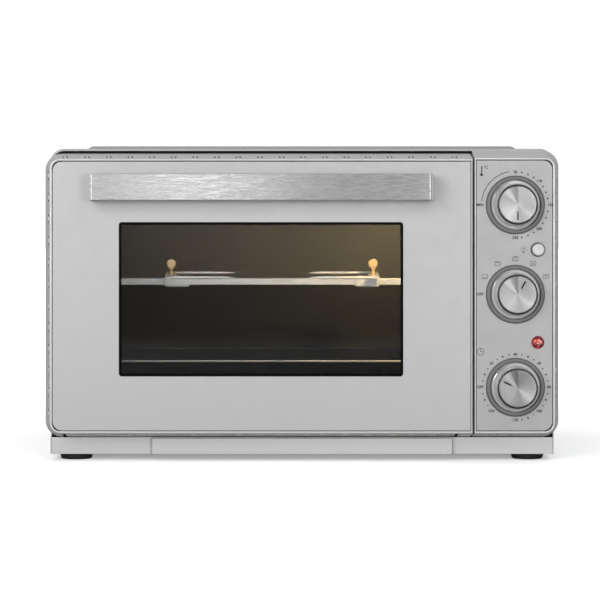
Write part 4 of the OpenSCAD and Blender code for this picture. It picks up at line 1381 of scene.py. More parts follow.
@dataclass
class Door:
    """The drop-down door: rim, face, window, handle and what its inside shows."""

    shape: RimShape
    window_radius: float = 3.0
    border: float = 2.6
    slot_half: float = 2.1
    arm_gap: float = 1.2
    ear_reach: float = 7.0
    strap_sheet: float = 3.0
    strap_bend: float = 4.0
    overlap_x: float = 12.0
    overlap_z: float = 10.0

    def build(self) -> None:
        """Makes every piece of the door."""
        self._rim()
        self._face()
        self._window()
        self._handle()
        self._inside()

    def _rim(self) -> None:
        """The flared silver rim with its rows of lugs and the hinge slots."""
        shape, box, face = self.shape, Extent.of("door_frame"), Extent.of("door_face")
        front = shape.front(face, Side.LEFT)
        back = Outline(box.low.x, box.low.z, front.x1, box.high.z, box.high.y, shape.rear_radius, Side.LEFT)
        rim = shape.wall("door_rim", front, back)
        depth = back.y - front.y
        across = shape.spots(back.x0 + shape.rear_radius, front.x1 - 12)
        up = shape.spots(back.z0 + shape.rear_radius + 4, back.z1 - shape.rear_radius - 2)
        rim = shape.row(rim, across, Axis.X, front.z1, back.z1, front.y, depth, shape.top_lug)
        rim = shape.row(rim, across, Axis.X, front.z0, back.z0, front.y, depth, shape.lug)
        rim = shape.row(rim, up, Axis.Z, front.x0, back.x0, front.y, depth, shape.lug)
        brackets = Extent.of("hinge_brackets")
        for hinge in self._hinges():
            combine(rim, block("slot", (hinge - self.slot_half, brackets.low.y - self.arm_gap, box.low.z - 1),
                               (hinge + self.slot_half, box.high.y + 1, brackets.centre.z)))
        shape.close(rim, "door", "door_frame", front)

    def _hinges(self) -> list[float]:
        """The middles of the two hinges across the door."""
        ears = Extent.of("stay_arms")
        return [ears.low.x + self.ear_reach, ears.high.x - self.ear_reach]

    def _face(self) -> None:
        """The flat face sheet with its window opening and softly rolled edges."""
        face = Extent.of("door_face")
        glass = Extent.of("window_glass")
        sheet = block("door_face_sheet", face.low, face.high)
        round_edges(sheet, Axis.Y, self.shape.face_radius, keep=lambda p: p.x < face.centre.x)
        self.opening = (glass.low.x + self.overlap_x, glass.low.z + self.overlap_z,
                        glass.high.x - self.overlap_x, glass.high.z - self.overlap_z)
        x0, z0, x1, z1 = self.opening
        hole = round_edges(block("hole", (x0, face.low.y - 3, z0), (x1, face.high.y + 3, z1)), Axis.Y,
                           self.window_radius)
        combine(sheet, hole)
        soften(sheet, 0.35, 2)
        finish(sheet, FACE, "door", "door_face")

    def _window(self) -> None:
        """The outer glass, its black printed border and the inner glass."""
        glass, face = Extent.of("window_glass"), Extent.of("door_face")
        pane = block("window_pane", glass.low, glass.high)
        round_edges(pane, Axis.Y, 5.0)
        soften(pane, 0.4, 2)
        finish(pane, WINDOW, "door", "window_glass")
        x0, z0, x1, z1 = self.opening
        outer = Outline(x0 + 0.02, z0 + 0.02, x1 - 0.02, z1 - 0.02, face.high.y - 0.12, self.window_radius)
        inner = outer.inset(self.border, self.border, outer.y)
        rear = face.high.y - 0.02
        border = hoop("window_border", [outer, inner, inner.inset(0, 0, rear), outer.inset(0, 0, rear)])
        finish(border, FRIT, "door")
        dress(CLEAR, "inner_glass")

    def _handle(self) -> None:
        """The bent strap handle with rounded bends and eased edges, and its feet."""
        bar, face = Extent.of("handle_bar"), Extent.of("door_face")
        sheet, bend = self.strap_sheet, self.strap_bend
        strap = block("handle_strap", bar.low, (bar.high.x, face.low.y + 8, bar.high.z))
        pick(strap, edges=lambda a, b: abs(b.z - a.z) > 1 and a.y < face.low.y)
        bpy.ops.mesh.bevel(offset=bend, segments=10, affect="EDGES")
        leave()
        core = block("core", (bar.low.x + sheet, bar.low.y + sheet, bar.low.z - 2),
                     (bar.high.x - sheet, face.low.y + 20, bar.high.z + 2))
        pick(core, edges=lambda a, b: abs(b.z - a.z) > 1 and a.y < face.low.y)
        bpy.ops.mesh.bevel(offset=bend - sheet, segments=6, affect="EDGES")
        leave()
        trim = block("trim", (bar.low.x - 5, face.low.y, bar.low.z - 5),
                     (bar.high.x + 5, face.low.y + 30, bar.high.z + 5))
        combine(strap, core, trim)
        soften(strap, 0.5, 3, 50)
        feet = []
        for x in (bar.low.x + 1, bar.high.x - 13):
            foot = block("foot", (x, face.low.y - 5.4, bar.centre.z - 9), (x + 12, face.low.y, bar.centre.z + 9))
            feet.append(soften(foot, 0.6, 2))
        strap = join(strap, *feet)
        front = bar.low.y + bend
        # the bends take the paler copy: a painted highlight down both ends
        finish(strap, STRAP, "door", "handle_bar",
               accents=[(STRAP_BEND_HIGHLIGHT, lambda c, n: abs(n.x) > 0.45 and abs(n.z) < 0.5 and c.y < front)])

    def _inside(self) -> None:
        """The door's rear parts: its panel and seal keep their CAD shapes."""
        dress(CABINET, "door_inner_panel")
        dress(SILICONE, "door_seal")
        dress(STEEL, "stay_arms", "hinge_ears")
        box, bar, face = Extent.of("door_screws"), Extent.of("handle_bar"), Extent.of("door_face")
        rear = Extent.of("door_frame").high.y
        spots = [(x, rear, z) for x in (box.low.x + 3.4, bar.centre.x, box.high.x - 3.4)
                 for z in (box.low.z + 3.4, box.high.z - 3.4)]
        spots += [(x, face.high.y, bar.centre.z) for x in (bar.low.x + 8, bar.high.x - 8)]
        finish(screws("door_screw_set", spots), STEEL, "door", "door_screws")


@dataclass
class Mark:
    """A label beside a dial: its text and its angle, clockwise from the top."""

    text: str
    angle: float


@dataclass
class Scale:
    """The printed scale around a dial."""

    name: str
    labels: Sequence[Mark]
    dots: Sequence[tuple[float, float]]
    arc: Optional[tuple[float, float]] = None


@dataclass
class ControlPanel:
    """The control panel: rim, fascia, dials, print, light button and lens."""

    shape: RimShape
    mark_radius: float = 33.7
    label_radius: float = 33.4
    type_size: float = 3.9
    cap_radius: float = 18.9
    cap_back: float = -22.0
    dial_steps: int = 96
    pointers: dict[str, float] = field(default_factory=lambda: {"temperature": 180.0, "function": 30.0, "timer": -64.0})

    def build(self) -> None:
        """Makes every piece of the panel."""
        fascia = Extent.of("control_fascia")
        self.face_y = fascia.low.y
        self._rim(fascia)
        self._fascia(fascia)
        self._bezels()
        for name, pointer in self.pointers.items():
            self._dial(name, pointer)
        self._scales()
        self._button_and_lens()
        dress(STEEL, "temperature_shaft", "function_shaft", "timer_shaft")
        dress(CERAMIC, "thermostat")
        dress(SWITCH, "function_switch", "timer")
        dress(BLACK, "light_switch")

    def _rim(self, face: Extent) -> None:
        """The flared silver rim with lugs on its side and bottom.

        Args:
            face: the box of the fascia.
        """
        shape, box = self.shape, Extent.of("control_frame")
        front = shape.front(face, Side.RIGHT)
        back = Outline(front.x0, box.low.z, box.high.x, box.high.z, box.high.y, shape.rear_radius, Side.RIGHT)
        rim = shape.wall("control_rim", front, back)
        depth = back.y - front.y
        across = shape.spots(front.x0 + 12, back.x1 - shape.rear_radius)
        up = shape.spots(back.z0 + shape.rear_radius + 4, back.z1 - shape.rear_radius - 5)
        rim = shape.row(rim, across, Axis.X, front.z0, back.z0, front.y, depth, shape.lug)
        rim = shape.row(rim, up, Axis.Z, front.x1, back.x1, front.y, depth, shape.lug)
        shape.close(rim, "root", "control_frame", front)

    def _centre(self, name: str) -> Vector:
        """The middle of a dial on the fascia."""
        knob = Extent.of(name + "_knob").centre
        return Vector((knob.x, self.face_y, knob.z))

    def _fascia(self, face: Extent) -> None:
        """The fascia sheet, cut for the bushes, the button and the lens.

        Args:
            face: the box of the fascia.
        """
        sheet = block("fascia_sheet", face.low, face.high)
        round_edges(sheet, Axis.Y, self.shape.face_radius, keep=lambda p: p.x > face.centre.x)
        holes = []
        for node in ("temperature_knob", "function_knob", "timer_knob", "light_button", "indicator_lens"):
            at = Extent.of(node).centre
            r = {"light_button": 7.3, "indicator_lens": 6.5}.get(node, 5.1)
            holes.append(turned("bore", [(0, -4), (r, -4), (r, 5), (0, 5)], (at.x, self.face_y, at.z), steps=40))
        combine(sheet, *holes)
        soften(sheet, 0.3, 2, 50)
        finish(sheet, FASCIA, "root", "control_fascia")

    def _bezels(self) -> None:
        """The fixed dark rings around the dials and the button's collar."""
        rings = []
        for name in self.pointers:
            at = self._centre(name)
            profile = [(25.3, 0), (29.9, 0), (29.9, -1.5), (29.7, -2.2), (29.2, -2.8), (28.6, -3.0), (26.2, -3.0),
                       (25.7, -2.8), (25.4, -2.4), (25.3, -1.8), (25.3, 0)]
            rings.append(turned(name + "_ring", profile, at, steps=self.dial_steps))
        at = Extent.of("light_button").centre
        y = self.face_y
        rings.append(turned("collar", [(6.25, 3.2), (7.2, 3.2), (7.2, -1.1), (6.95, -1.5), (6.6, -1.6), (6.3, -1.4),
                                       (6.25, -1.0), (6.25, 3.2)], (at.x, y, at.z), steps=48))
        finish(join(*rings), DARK_RING, "root", "control_bezels", angle=50, weigh=False)

    def _dial(self, name: str, pointer: float) -> None:
        """A knob: chromed skirt, black ring, spun cap and its inlaid pointer.

        Args:
            name: the dial's name.
            pointer: where it points at rest, in degrees clockwise from the top.
        """
        at, body = self._centre(name), name + "_dial"
        skirt = [(4, -5), (8, -5), (8, -17), (17, -17), (22.1, -1), (24.3, -1), (24.5, -1.3), (24.5, -2.8),
                 (24.4, -3.05), (23.9, -3.3), (23.3, -3.62), (22.7, -4.0), (22.1, -4.5), (21.65, -5.2),
                 (21.35, -6.3), (21.15, -8.2), (20.95, -12), (20.75, -17.5), (20.65, -20.6), (20.45, -21.4),
                 (20.1, -21.85), (19.4, -22.0), (4, -22.0), (4, -5)]
        knob = turned(name + "_skirt", skirt, at, steps=self.dial_steps)
        finish(knob, CHROME, body, name + "_knob", angle=50, weigh=False,
               accents=[(BLACK_RING, lambda c, n: c.y < at.y - 21.35)])
        radius, back = self.cap_radius, self.cap_back
        profile = [(0, back), (radius, back), (radius, -23.4), (radius - 0.15, -23.75), (radius - 0.5, -23.9),
                   (radius - 0.9, -23.92), (radius * 0.66, -23.84), (radius * 0.33, -23.74), (0, -23.7)]
        cap = turned(name + "_spun_cap", profile, at, steps=self.dial_steps)
        groove = block("groove", (-0.75, -1, radius * 0.38), (0.75, 0.9, radius * 0.83))
        combine(cap, moved(groove, (at.x, at.y - 24, at.z), pointer, Axis.Y))
        bottom = at.y - 23.45
        lines = [(INK, lambda c, n: c.y > bottom and abs(c.y - (at.y - 23.1)) < 0.1 and n.y < -0.9
                  and Vector((c.x - at.x, 0, c.z - at.z)).length < radius * 0.9)]
        # the cap's colour carries a painted sheen of light and dark cones
        coat = SpunCap("spun_cap", (0.255, 0.253, 0.253), 0.30, tuple(Vector((at.x, at.y, at.z)) * MM))
        finish(cap, coat, body, name + "_cap", accents=lines)

    def _scales(self) -> None:
        """The printed scales and signs."""
        third = [11.25 * i for i in (1, 2, 3)]
        heat = [a + d for a in (0, 45, 90, 135) for d in third]
        time = [a + d for a in (-135, -90, -45, 0, 45, 90, 135) for d in third]
        scales = (
            Scale("temperature", [Mark("MIN", -90), Mark("70", 0), Mark("110", 45), Mark("150", 90),
                                  Mark("200", 135), Mark("230", 180)], [(a, 0.84) for a in heat], (-83, -11)),
            Scale("function", [Mark("OFF", -90)], []),
            Scale("timer", [Mark("ON", -135), Mark("OFF", -90), Mark("20", -45), Mark("40", 0), Mark("60", 45),
                            Mark("80", 90), Mark("100", 135), Mark("120", 180)],
                  [(a, 0.95 if i % 3 == 1 else 0.70) for i, a in enumerate(time)]),
        )
        for scale in scales:
            self._scale(scale)
        self._signs()

    def _spot(self, name: str, angle: float, radius: float) -> tuple[float, float]:
        """A place around a dial, in x and z."""
        at, turn = self._centre(name), math.radians(angle)
        return at.x + math.sin(turn) * radius, at.z + math.cos(turn) * radius

    def _scale(self, scale: Scale) -> None:
        """Prints one dial's scale.

        Args:
            scale: what is printed.
        """
        y = self.face_y - PRINT
        parts = []
        for mark in scale.labels:
            reach = self.label_radius + (1.0 if mark.angle % 180 else 0.0)
            reach += 1.5 if abs(mark.angle) == 90 and len(mark.text) > 2 else 0.0
            x, z = self._spot(scale.name, mark.angle, reach)
            parts.append(lettering(mark.text, x, y, z, self.type_size))
        for angle, radius in scale.dots:
            x, z = self._spot(scale.name, angle, self.mark_radius)
            parts.append(dot(x, y, z, radius))
        if scale.arc:
            start, end = scale.arc
            parts.append(turned("arc", band(34.2, 34.9), self._centre(scale.name) + Vector((0, -PRINT, 0)), steps=36,
                                angle=end - start, start=start))
        if scale.name == "function":
            for index, angle in enumerate((-60, -30, 0, 30, 60)):
                parts.extend(self._mode_sign(*self._spot(scale.name, angle, 36.0), index))
        finish(join(*parts), INK, "root").name = scale.name + "_print"

    def _line(self, x0: float, z0: float, x1: float, z1: float) -> Piece:
        """A thin printed bar between two corners."""
        y = self.face_y
        return block("line", (x0, y - 0.06, z0), (x1, y + 0.02, z1))

    def _mode_sign(self, x: float, z: float, index: int) -> list[Piece]:
        """A small oven sign whose inner lines tell the function.

        Args:
            x: its middle across.
            z: its middle in height.
            index: which function it stands for, from 0 to 4.

        Returns:
            The sign's parts.
        """
        y, w, h = self.face_y - 0.06, 3.0, 2.4
        outer = Outline(x - w, z - h, x + w, z + h, y, 0.8)
        inner = outer.inset(0.4, 0.4, y)
        rear = self.face_y
        parts = [hoop("sign", [outer, inner, inner.inset(0, 0, rear), outer.inset(0, 0, rear)], segments=3)]
        if index in (1, 2, 4):
            parts.append(self._line(x - 1.9, z + 1.0, x + 1.9, z + 1.4))
        if index in (0, 2, 3):
            parts.append(self._line(x - 1.9, z - 1.4, x + 1.9, z - 1.0))
        if index in (3, 4):
            parts.append(dot(x, y, z + (0.2 if index == 3 else -0.4), 0.7))
        return parts

    def _signs(self) -> None:
        """Prints the thermometer, the bulb and the clock."""
        y = self.face_y - PRINT
        hot, clock = self._centre("temperature"), self._centre("timer")
        bulb = Extent.of("light_button").centre
        x, z = hot.x - 34.4, hot.z + 35.0
        parts = [dot(x, y, z - 4.2, 1.45), self._line(x - 0.45, z - 4, x + 0.45, z + 4.6),
                 lettering("°C", x + 4.4, y, z + 3, 3.5)]
        parts += [self._line(x + 0.6, z + i * 1.7, x + 1.6, z + i * 1.7 + 0.35) for i in range(3)]
        x, z = clock.x - 35.4, clock.z + 36.2
        parts += [turned("clock", band(3.3, 3.8), (x, y, z), steps=28), self._line(x - 0.25, z, x + 0.25, z + 2.6),
                  self._line(x, z - 0.25, x + 1.9, z + 0.25)]
        x, z = bulb.x - 14.6, bulb.z - 0.4
        parts += [turned("bulb", band(1.5, 1.85), (x, y, z), steps=20), self._line(x - 0.8, z - 3.1, x + 0.8, z - 2.0)]
        for turn in (-90, -54, -18, 18, 54, 90):
            ray = block("ray", (-0.17, -0.06, 2.7), (0.17, 0.02, 4.2))
            parts.append(moved(ray, (x, self.face_y, z), turn, Axis.Y))
        finish(join(*parts), INK, "root").name = "panel_signs"

    def _button_and_lens(self) -> None:
        """The white light button and the faceted red lens."""
        button, lens = Extent.of("light_button"), Extent.of("indicator_lens")
        y = self.face_y
        profile = [(0, button.high.y - y), (2.5, button.high.y - y), (2.5, 1.6), (6.15, 1.6), (6.15, -4.6),
                   (5.95, -5.1), (5.5, -5.4), (4.6, -5.5), (2.5, -5.42), (0, -5.36)]
        cap = turned("light_button_cap", profile, (button.centre.x, y, button.centre.z), steps=48)
        finish(cap, WHITE, "light_button", "light_button")
        profile = [(0, 6.0), (5.3, 6.0), (5.3, 1.3), (6.35, 1.1), (6.4, -0.6), (6.2, -0.9), (5.4, -1.5), (4.6, -2.2),
                   (3.6, -2.5), (0, -2.6)]
        jewel = turned("lens_jewel", profile, (lens.centre.x, y, lens.centre.z), steps=12)
        finish(jewel, RED, "root", "indicator_lens", angle=12)


# ---------------------------------------------------------------- the cabinet


@dataclass
class Cabinet:
    """The cabinet's shell, base, feet, back and the frame behind the door."""

    sheet: float = 1.0
    radius: float = 14.0
    press_side: float = 36.0
    press_end: float = 14.0
    press_slope: float = 5.44
    hem: float = 2.3
    hem_rise: float = 40.0
    pan_rise: float = 3.0
    pan_drop: float = 3.8
    pan_gap: float = 0.8
    foot: float = 17.2
    screw: float = 3.4
    spacer_half: float = 14.0
    vent_drops: tuple[float, float] = (96.0, 176.0)
    vent_count: int = 14
    vent_pitch: float = 9.0
    vent_end: float = 160.0
    vent_width: float = 3.0
    vent_length: float = 46.0

    def build(self) -> None:
        """Makes every piece of the cabinet."""
        self._shell()
        self._base()
        self._feet()
        self._back()
        dress(BLACK_ENAMEL, "front_frame")
        self._hem()
        dress(STEEL, "hinge_brackets")

    def _shell(self) -> None:
        """The folded silver shell with its pressed top, soft folds and vents."""
        box, frame_box = Extent.of("cabinet_shell"), Extent.of("front_frame")
        top = frame_box.high.z + self.sheet + 0.1
        low, high = box.low, box.high
        shell = block("cabinet_skin", low, (high.x, high.y, top))
        round_edges(shell, Axis.Y, self.radius, keep=lambda p: p.z > top - 1)
        drop(shell, "FACE", faces=lambda c, n: n.z < -0.9 or abs(n.y) > 0.9)
        x0, x1 = low.x + self.press_side, high.x - self.press_side
        y0, y1 = low.y + self.press_end, high.y - self.press_end
        press = block("press", (x0, y0, top - 0.5), (x1, y1, high.z))
        pick(press, points=lambda p: p.z > top)
        middle = Vector(((x0 + x1) / 2, (y0 + y1) / 2, high.z))
        bpy.ops.transform.resize(value=(1 - 2 * self.press_slope / (x1 - x0), 1 - 3.2 / (y1 - y0), 1),
                                 center_override=middle)
        leave()
        drop(press, "FACE", faces=lambda c, n: n.z < -0.9)
        soften(press, 2.2, 4, 15)
        modify(shell, "SOLIDIFY", thickness=self.sheet, offset=-1.0)
        cuts = [block("swing", (low.x - 5, low.y - 2, frame_box.low.z), (0, low.y + 5.49, frame_box.low.z + 35.9))]
        y = high.y - self.vent_end
        for down in self.vent_drops:
            z = box.high.z - down + 0.6
            slot = block("vent", (high.x - 5, y, z), (high.x + 5, y + self.vent_width, z + self.vent_length))
            cuts.append(repeat(round_edges(slot, Axis.X, 1.4, 4), self.vent_count, (0, self.vent_pitch, 0)))
        combine(shell, *cuts)
        finish(join(shell, press), SHELL, "root", "cabinet_shell", angle=28)

    def _hem(self) -> None:
        """The folded front hem of the shell."""
        shell, frame_box = Extent.of("cabinet_shell"), Extent.of("front_frame")
        y, top = shell.low.y - 0.35, frame_box.high.z + self.sheet + 0.1
        rim = Outline(shell.low.x, frame_box.low.z + self.hem_rise, shell.high.x, top + 20, y, self.radius)
        hem = hoop("shell_hem", [rim.inset(0.3, 0.3, y), rim.inset(0, 0, y + 0.4), rim.inset(0, 0, y + 1.5),
                                 rim.inset(self.hem, self.hem, y + 1.5), rim.inset(self.hem, self.hem, y + 0.2),
                                 rim.inset(self.hem - 0.3, self.hem - 0.3, y)])
        pick(hem, points=lambda p: p.z > top + 4)
        bpy.ops.transform.translate(value=(0, 0, -20))
        leave()
        drop(hem, "VERT", points=lambda p: p.z < frame_box.low.z + self.hem_rise + self.radius)
        finish(hem, SHELL, "root")

    def _base(self) -> None:
        """The plinth, the bottom plate and the crumb tray."""
        box, tray = Extent.of("plinth"), Extent.of("crumb_tray")
        strip = block("plinth_strip", box.low, (box.high.x, box.low.y + self.sheet, box.high.z))
        sill, head = tray.low.z + self.pan_rise, tray.high.z - self.pan_drop
        combine(strip, block("mouth", (tray.low.x + 4.2, box.low.y - 2, sill - self.pan_gap),
                             (tray.high.x - 4.2, box.low.y + 4, head + self.pan_gap)))
        soften(strip, 0.3, 2)
        finish(strip, CABINET, "root", "plinth")
        dress(GALVANISED, "bottom_plate")
        pan = block("crumb_pan", (tray.low.x + 5, box.low.y - 1, sill), (tray.high.x - 5, tray.high.y, head))
        pick(pan, faces=lambda c, n: n.z > 0.9)
        bpy.ops.mesh.inset(thickness=self.sheet)
        bpy.ops.transform.translate(value=(0, 0, -(head - sill - self.sheet)))
        leave()
        soften(pan, 0.35, 2)
        lip = block("crumb_front", tray.low, (tray.high.x, box.low.y - 0.9, tray.high.z))
        round_edges(lip, Axis.Z, 1.6, 4, keep=lambda p: p.y < box.low.y - 3)
        soften(lip, 0.5, 3, 50)
        finish(join(pan, lip), CABINET, "crumb_tray", "crumb_tray", angle=40)

    def _feet(self) -> None:
        """The four tapered rubber feet, each with a moulded hollow under it."""
        box = Extent.of("feet")
        r = self.foot
        profile = [(0, 1.6), (6, 1.6), (6.5, 0.1), (7, 0), (14.8, 0), (15.5, 0.3), (16.0, 1.1), (16.6, 3.2),
                   (17.05, 5.6), (r, box.high.z), (0, box.high.z)]
        spots = [(x, y) for x in (box.low.x + r, box.high.x - r) for y in (box.low.y + r, box.high.y - r)]
        first = turned("rubber_feet", profile, (spots[0][0], spots[0][1], 0), Axis.Z, 48)
        others = [copy_of(first, "foot", (x - spots[0][0], y - spots[0][1], 0)) for x, y in spots[1:]]
        finish(join(first, *others), RUBBER, "root", "feet", angle=50, weigh=False)

    def _back(self) -> None:
        """The rear spacers, the gland and the screws; the rear panel keeps its CAD shape."""
        dress(GALVANISED, "back_panel")
        box = Extent.of("rear_spacers")
        spacers = []
        half = self.spacer_half
        for x in (box.low.x + half, box.high.x - half):
            plate = round_edges(block("plate", (x - half, box.low.y, box.low.z), (x + half, box.low.y + 2, box.high.z)),
                                Axis.Y, 4.0)
            stud = block("stud", (x - 9, box.low.y + 1.5, box.low.z + 6), (x + 9, box.high.y, box.high.z - 6))
            round_edges(stud, Axis.Y, 3.0)
            hollow = round_edges(block("hollow", (x - 6, box.high.y - 7, box.low.z + 9),
                                       (x + 6, box.high.y + 1, box.high.z - 9)), Axis.Y, 2.0)
            combine(stud, hollow)
            spacers += [soften(plate, 0.5, 2), soften(stud, 0.6, 2)]
        finish(join(*spacers), BLACK, "root", "rear_spacers").name = "spacer_pair"
        box = Extent.of("cord_gland")
        profile = [(3.8, -8), (8, -8), (8, 0), (10.6, 0), (11, 0.4), (11, 2.4), (10.5, 3), (8.2, 3), (7.6, 3.6),
                   (7.2, 5.4), (6.6, 6), (4.4, 6), (3.8, 5.4), (3.8, -8)]
        gland = turned("gland_sleeve", profile, (box.centre.x, box.low.y + 8, box.centre.z), steps=48)
        finish(gland, BLACK, "root", "cord_gland", angle=50)
        box = Extent.of("cabinet_screws")
        r = self.screw
        spots = [(x, box.high.y - 1.4, z) for x in (box.low.x + r, 0, box.high.x - r)
                 for z in (box.low.z + r, box.high.z - r)]
        finish(screws("rear_screw_set", spots), STEEL, "root", "cabinet_screws")


# ---------------------------------------------------------------- the cavity


@dataclass
class Cavity:
    """The enamelled cavity, its heaters, lamp, fan, spit and trays."""

    turn: float = 7.0
    rod: float = 7.0
    collar: float = 11.5
    prong_side: float = 20.0
    lamp_watts: float = 4.6
    fill_watts: float = 0.9
    accent_watts: float = 0.3
    bulb_gap: float = 12.0
    heater_radius: float = 3.5
    runner_width: float = 14.0
    runner_height: float = 5.0
    runner_pairs: int = 3
    sleeve_length: float = 26.0
    plate_length: float = 12.0
    socket_half: float = 3.75
    tray_corner: float = 32.0
    pieces: list[Piece] = field(default_factory=list)
    bright: list[Piece] = field(default_factory=list)

    def build(self) -> None:
        """Makes every piece of the cavity."""
        self.axis = Extent.of("spit_rod").centre
        # the wrap is painted paler above the spit's height and darker below it: painted light and painted shade
        wall = Enamel("liner_grey", (0.040, 0.040, 0.041), 0.44, (0.150, 0.150, 0.152), self.axis.z * MM, 0.03, 0.25)
        dress(wall, "cavity_wrap")
        dress(LINER, "cavity_left_wall", "cavity_right_wall", "cavity_floor")
        dress(GALVANISED, "spit_motor", "fan_motor", "fan_housing")
        dress(STEEL_UP, "fan_wheel")
        for node in ("cavity_wrap", "cavity_left_wall", "cavity_right_wall", "cavity_floor"):
            self.pieces.append(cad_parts[node])
        self._heaters()
        self._runners()
        self._spit()
        self._fork("left", 1)
        self._fork("right", -1)
        self._baking_tray()
        self._lamp()

    def _keep(self, piece: Piece, coat: Finish, body: str, *nodes: str, angle: float = 40.0,
              accents: Accents = ()) -> None:
        """Finishes a piece of the cavity and remembers it.

        Args:
            piece: the piece, in millimetres.
            coat: its finish.
            body: the body that it rides on.
            nodes: the CAD nodes that it stands for.
            angle: edges sharper than this stay sharp, in degrees.
            accents: other finishes, each with a test of a face.
        """
        self.pieces.append(finish(piece, coat, body, *nodes, angle=angle, accents=accents))
        if body in ("spit", "left_fork", "right_fork", "baking_tray"):
            self.bright.append(self.pieces[-1])

    def _heaters(self) -> None:
        """Four sheathed rods with terminal pins, in stepped ceramic seats."""
        box = Extent.of("heaters")
        left, right = Extent.of("cavity_left_wall").high.x, Extent.of("cavity_right_wall").low.x
        r, length = self.heater_radius, box.size.x
        rod_profile = [(0, 0), (1.1, 0), (1.1, 6), (2.9, 6.2), (r, 7), (r, length - 7), (2.9, length - 6.2),
                       (1.1, length - 6), (1.1, length), (0, length)]
        rods, rings = [], []
        for y in (box.low.y + r, box.high.y - r):
            for z in (box.low.z + r, box.high.z - r):
                rods.append(turned("heater_rod", rod_profile, (box.low.x, y, z), Axis.X, 28))
                for x, way in ((left, -1), (right, 1)):
                    profile = [(3.65, -2), (6.4, -2), (7, -1.4), (7, 1), (8.6, 1), (9, 1.4), (9, 3.6), (8.6, 4),
                               (7, 4), (7, 9.4), (6.4, 10), (3.65, 10), (3.65, -2)]
                    rings.append(turned("seat", [(a, b * way) for a, b in profile], (x, y, z), Axis.X, 32))
        self._keep(join(*rods), SHEATH, "root", "heaters")
        self._keep(join(*rings), CERAMIC, "root", "heater_seats")

    def _runners(self) -> None:
        """Three pairs of folded tray runners with rounded ends."""
        box = Extent.of("tray_runners")
        wide, tall = self.runner_width, self.runner_height
        step = (box.size.z - tall) / 2
        rails = []
        for low, high in ((box.low.x, box.low.x + wide), (box.high.x - wide, box.high.x)):
            rail = block("runner", (low, box.low.y, box.low.z), (high, box.high.y, box.low.z + tall))
            inner = high if low == box.low.x else low
            round_edges(rail, Axis.Z, 5.0, 6, keep=lambda p: abs(p.x - inner) < 0.1)
            rails.append(repeat(soften(rail, 1.0, 3), self.runner_pairs, (0, 0, step)))
        self._keep(join(*rails), LINER, "root", "tray_runners")

    def _spit(self) -> None:
        """The square rod with its turned end, the socket that drives it and its rest."""
        box, rest = Extent.of("spit_rod"), Extent.of("spit_rest")
        y, z, h = self.axis.y, self.axis.z, self.rod / 2
        start = rest.high.x + 1.5
        bar = soften(round_edges(block("spit_bar", (0, -h, -h), (box.high.x - start, h, h)), Axis.X, 0.7, 3), 0.5)
        bar = moved(bar, (start, y, z), self.turn)
        end = turned("end", [(0, 0), (2.2, 0), (3, 0.8), (3, start - box.low.x + 1), (0, start - box.low.x + 1)],
                     (box.low.x, y, z), Axis.X, 32)
        self._keep(join(bar, end), ROD, "spit", "spit_rod")
        socket = Extent.of("drive_socket")
        profile = [(0, 0), (8.2, 0), (9, 0.8), (9, 6), (8.6, 6.4), (8.6, 7.2), (9, 7.6), (9, 20.4), (8.4, 21),
                   (4, 21), (4, socket.size.x), (0, socket.size.x)]
        drive = turned("socket_sleeve", profile, (socket.low.x, y, z), Axis.X, 40)
        gap = self.socket_half
        hole = moved(block("hole", (-1, -gap, -gap), (18, gap, gap)), (socket.low.x, y, z), self.turn)
        self._keep(combine(drive, hole), STEEL, "spit", "drive_socket")
        stand = block("rest_block", rest.low, rest.high)
        round_edges(stand, Axis.X, 4.0, 6, keep=lambda p: p.z < z)
        slot = block("slot", (rest.low.x + 1, y - 3.05, z), (rest.high.x + 1, y + 3.05, rest.high.z + 1))
        bore = turned("bore", [(0, 0), (3.05, 0), (3.05, 10), (0, 10)], (rest.low.x + 1, y, z), Axis.X, 32)
        self._keep(soften(combine(stand, combine(slot, bore, add=True)), 0.5, 2), ROD, "root", "spit_rest")

    def _fork(self, name: str, way: int) -> None:
        """A fork with its square collar, plate and pointed prongs, and its thumbscrew.

        Args:
            name: the side that it is on.
            way: 1 if its prongs point to the right, -1 if to the left.
        """
        box = Extent.of(name + "_fork")
        base = box.low.x if way > 0 else box.high.x
        at, half = (base, self.axis.y, self.axis.z), self.collar / 2
        low, high = sorted((0.0, self.sleeve_length * way))
        sleeve = block(name + "_fork_sleeve", (low, -half, -half), (high, half, half))
        round_edges(sleeve, Axis.X, 1.2, 4)
        gap = self.socket_half
        combine(sleeve, block("hole", (low - 1, -gap, -gap), (high + 1, gap, gap)))
        plate_low, plate_high = sorted((0.0, self.plate_length * way))
        side = self.prong_side + 1.7
        plate = block("plate", (plate_low, -side, half - 0.02), (plate_high, side, half + 2.4))
        parts = [soften(sleeve, 0.4, 2), soften(round_edges(plate, Axis.Z, 3.0, 6), 0.5, 2)]
        for y in (-self.prong_side, self.prong_side):
            profile = [(0, 9), (1.7, 9), (1.7, 65), (1.2, 70.5), (0.65, 75.5), (0.3, 76.8), (0, 77)]
            parts.append(turned("prong", [(r, x * way) for r, x in profile], (0, y, half + 1.2), Axis.X, 20))
        self._keep(moved(join(*parts), at, self.turn), ROD, name + "_fork", name + "_fork")
        x = 6.5 * way
        shank = turned(name + "_thumbscrew", [(0, 3.75), (1.6, 3.75), (2, 4.3), (2, 8.25), (3.6, 8.25), (3.6, 9.6),
                                              (3.3, 9.85), (2.1, 10.2), (2.0, 13.2), (2.5, 15.2), (0, 16.5)],
                       (x, 0, 0), Axis.Z, 28)
        head = turned("head", [(0, -1.35), (4.2, -1.5), (4.8, -1.45), (5.3, -1.1), (5.5, -0.5), (5.5, 0.5), (5.3, 1.1),
                               (4.8, 1.45), (4.2, 1.5), (0, 1.35)], (x, 0, 20), Axis.Y, 36)
        nicks = [moved(block("nick", (-0.35, -2, 5.15), (0.35, 2, 6)), (x, 0, 20), 20 * index + 10, Axis.Y)
                 for index in range(18)]
        combine(head, *nicks)
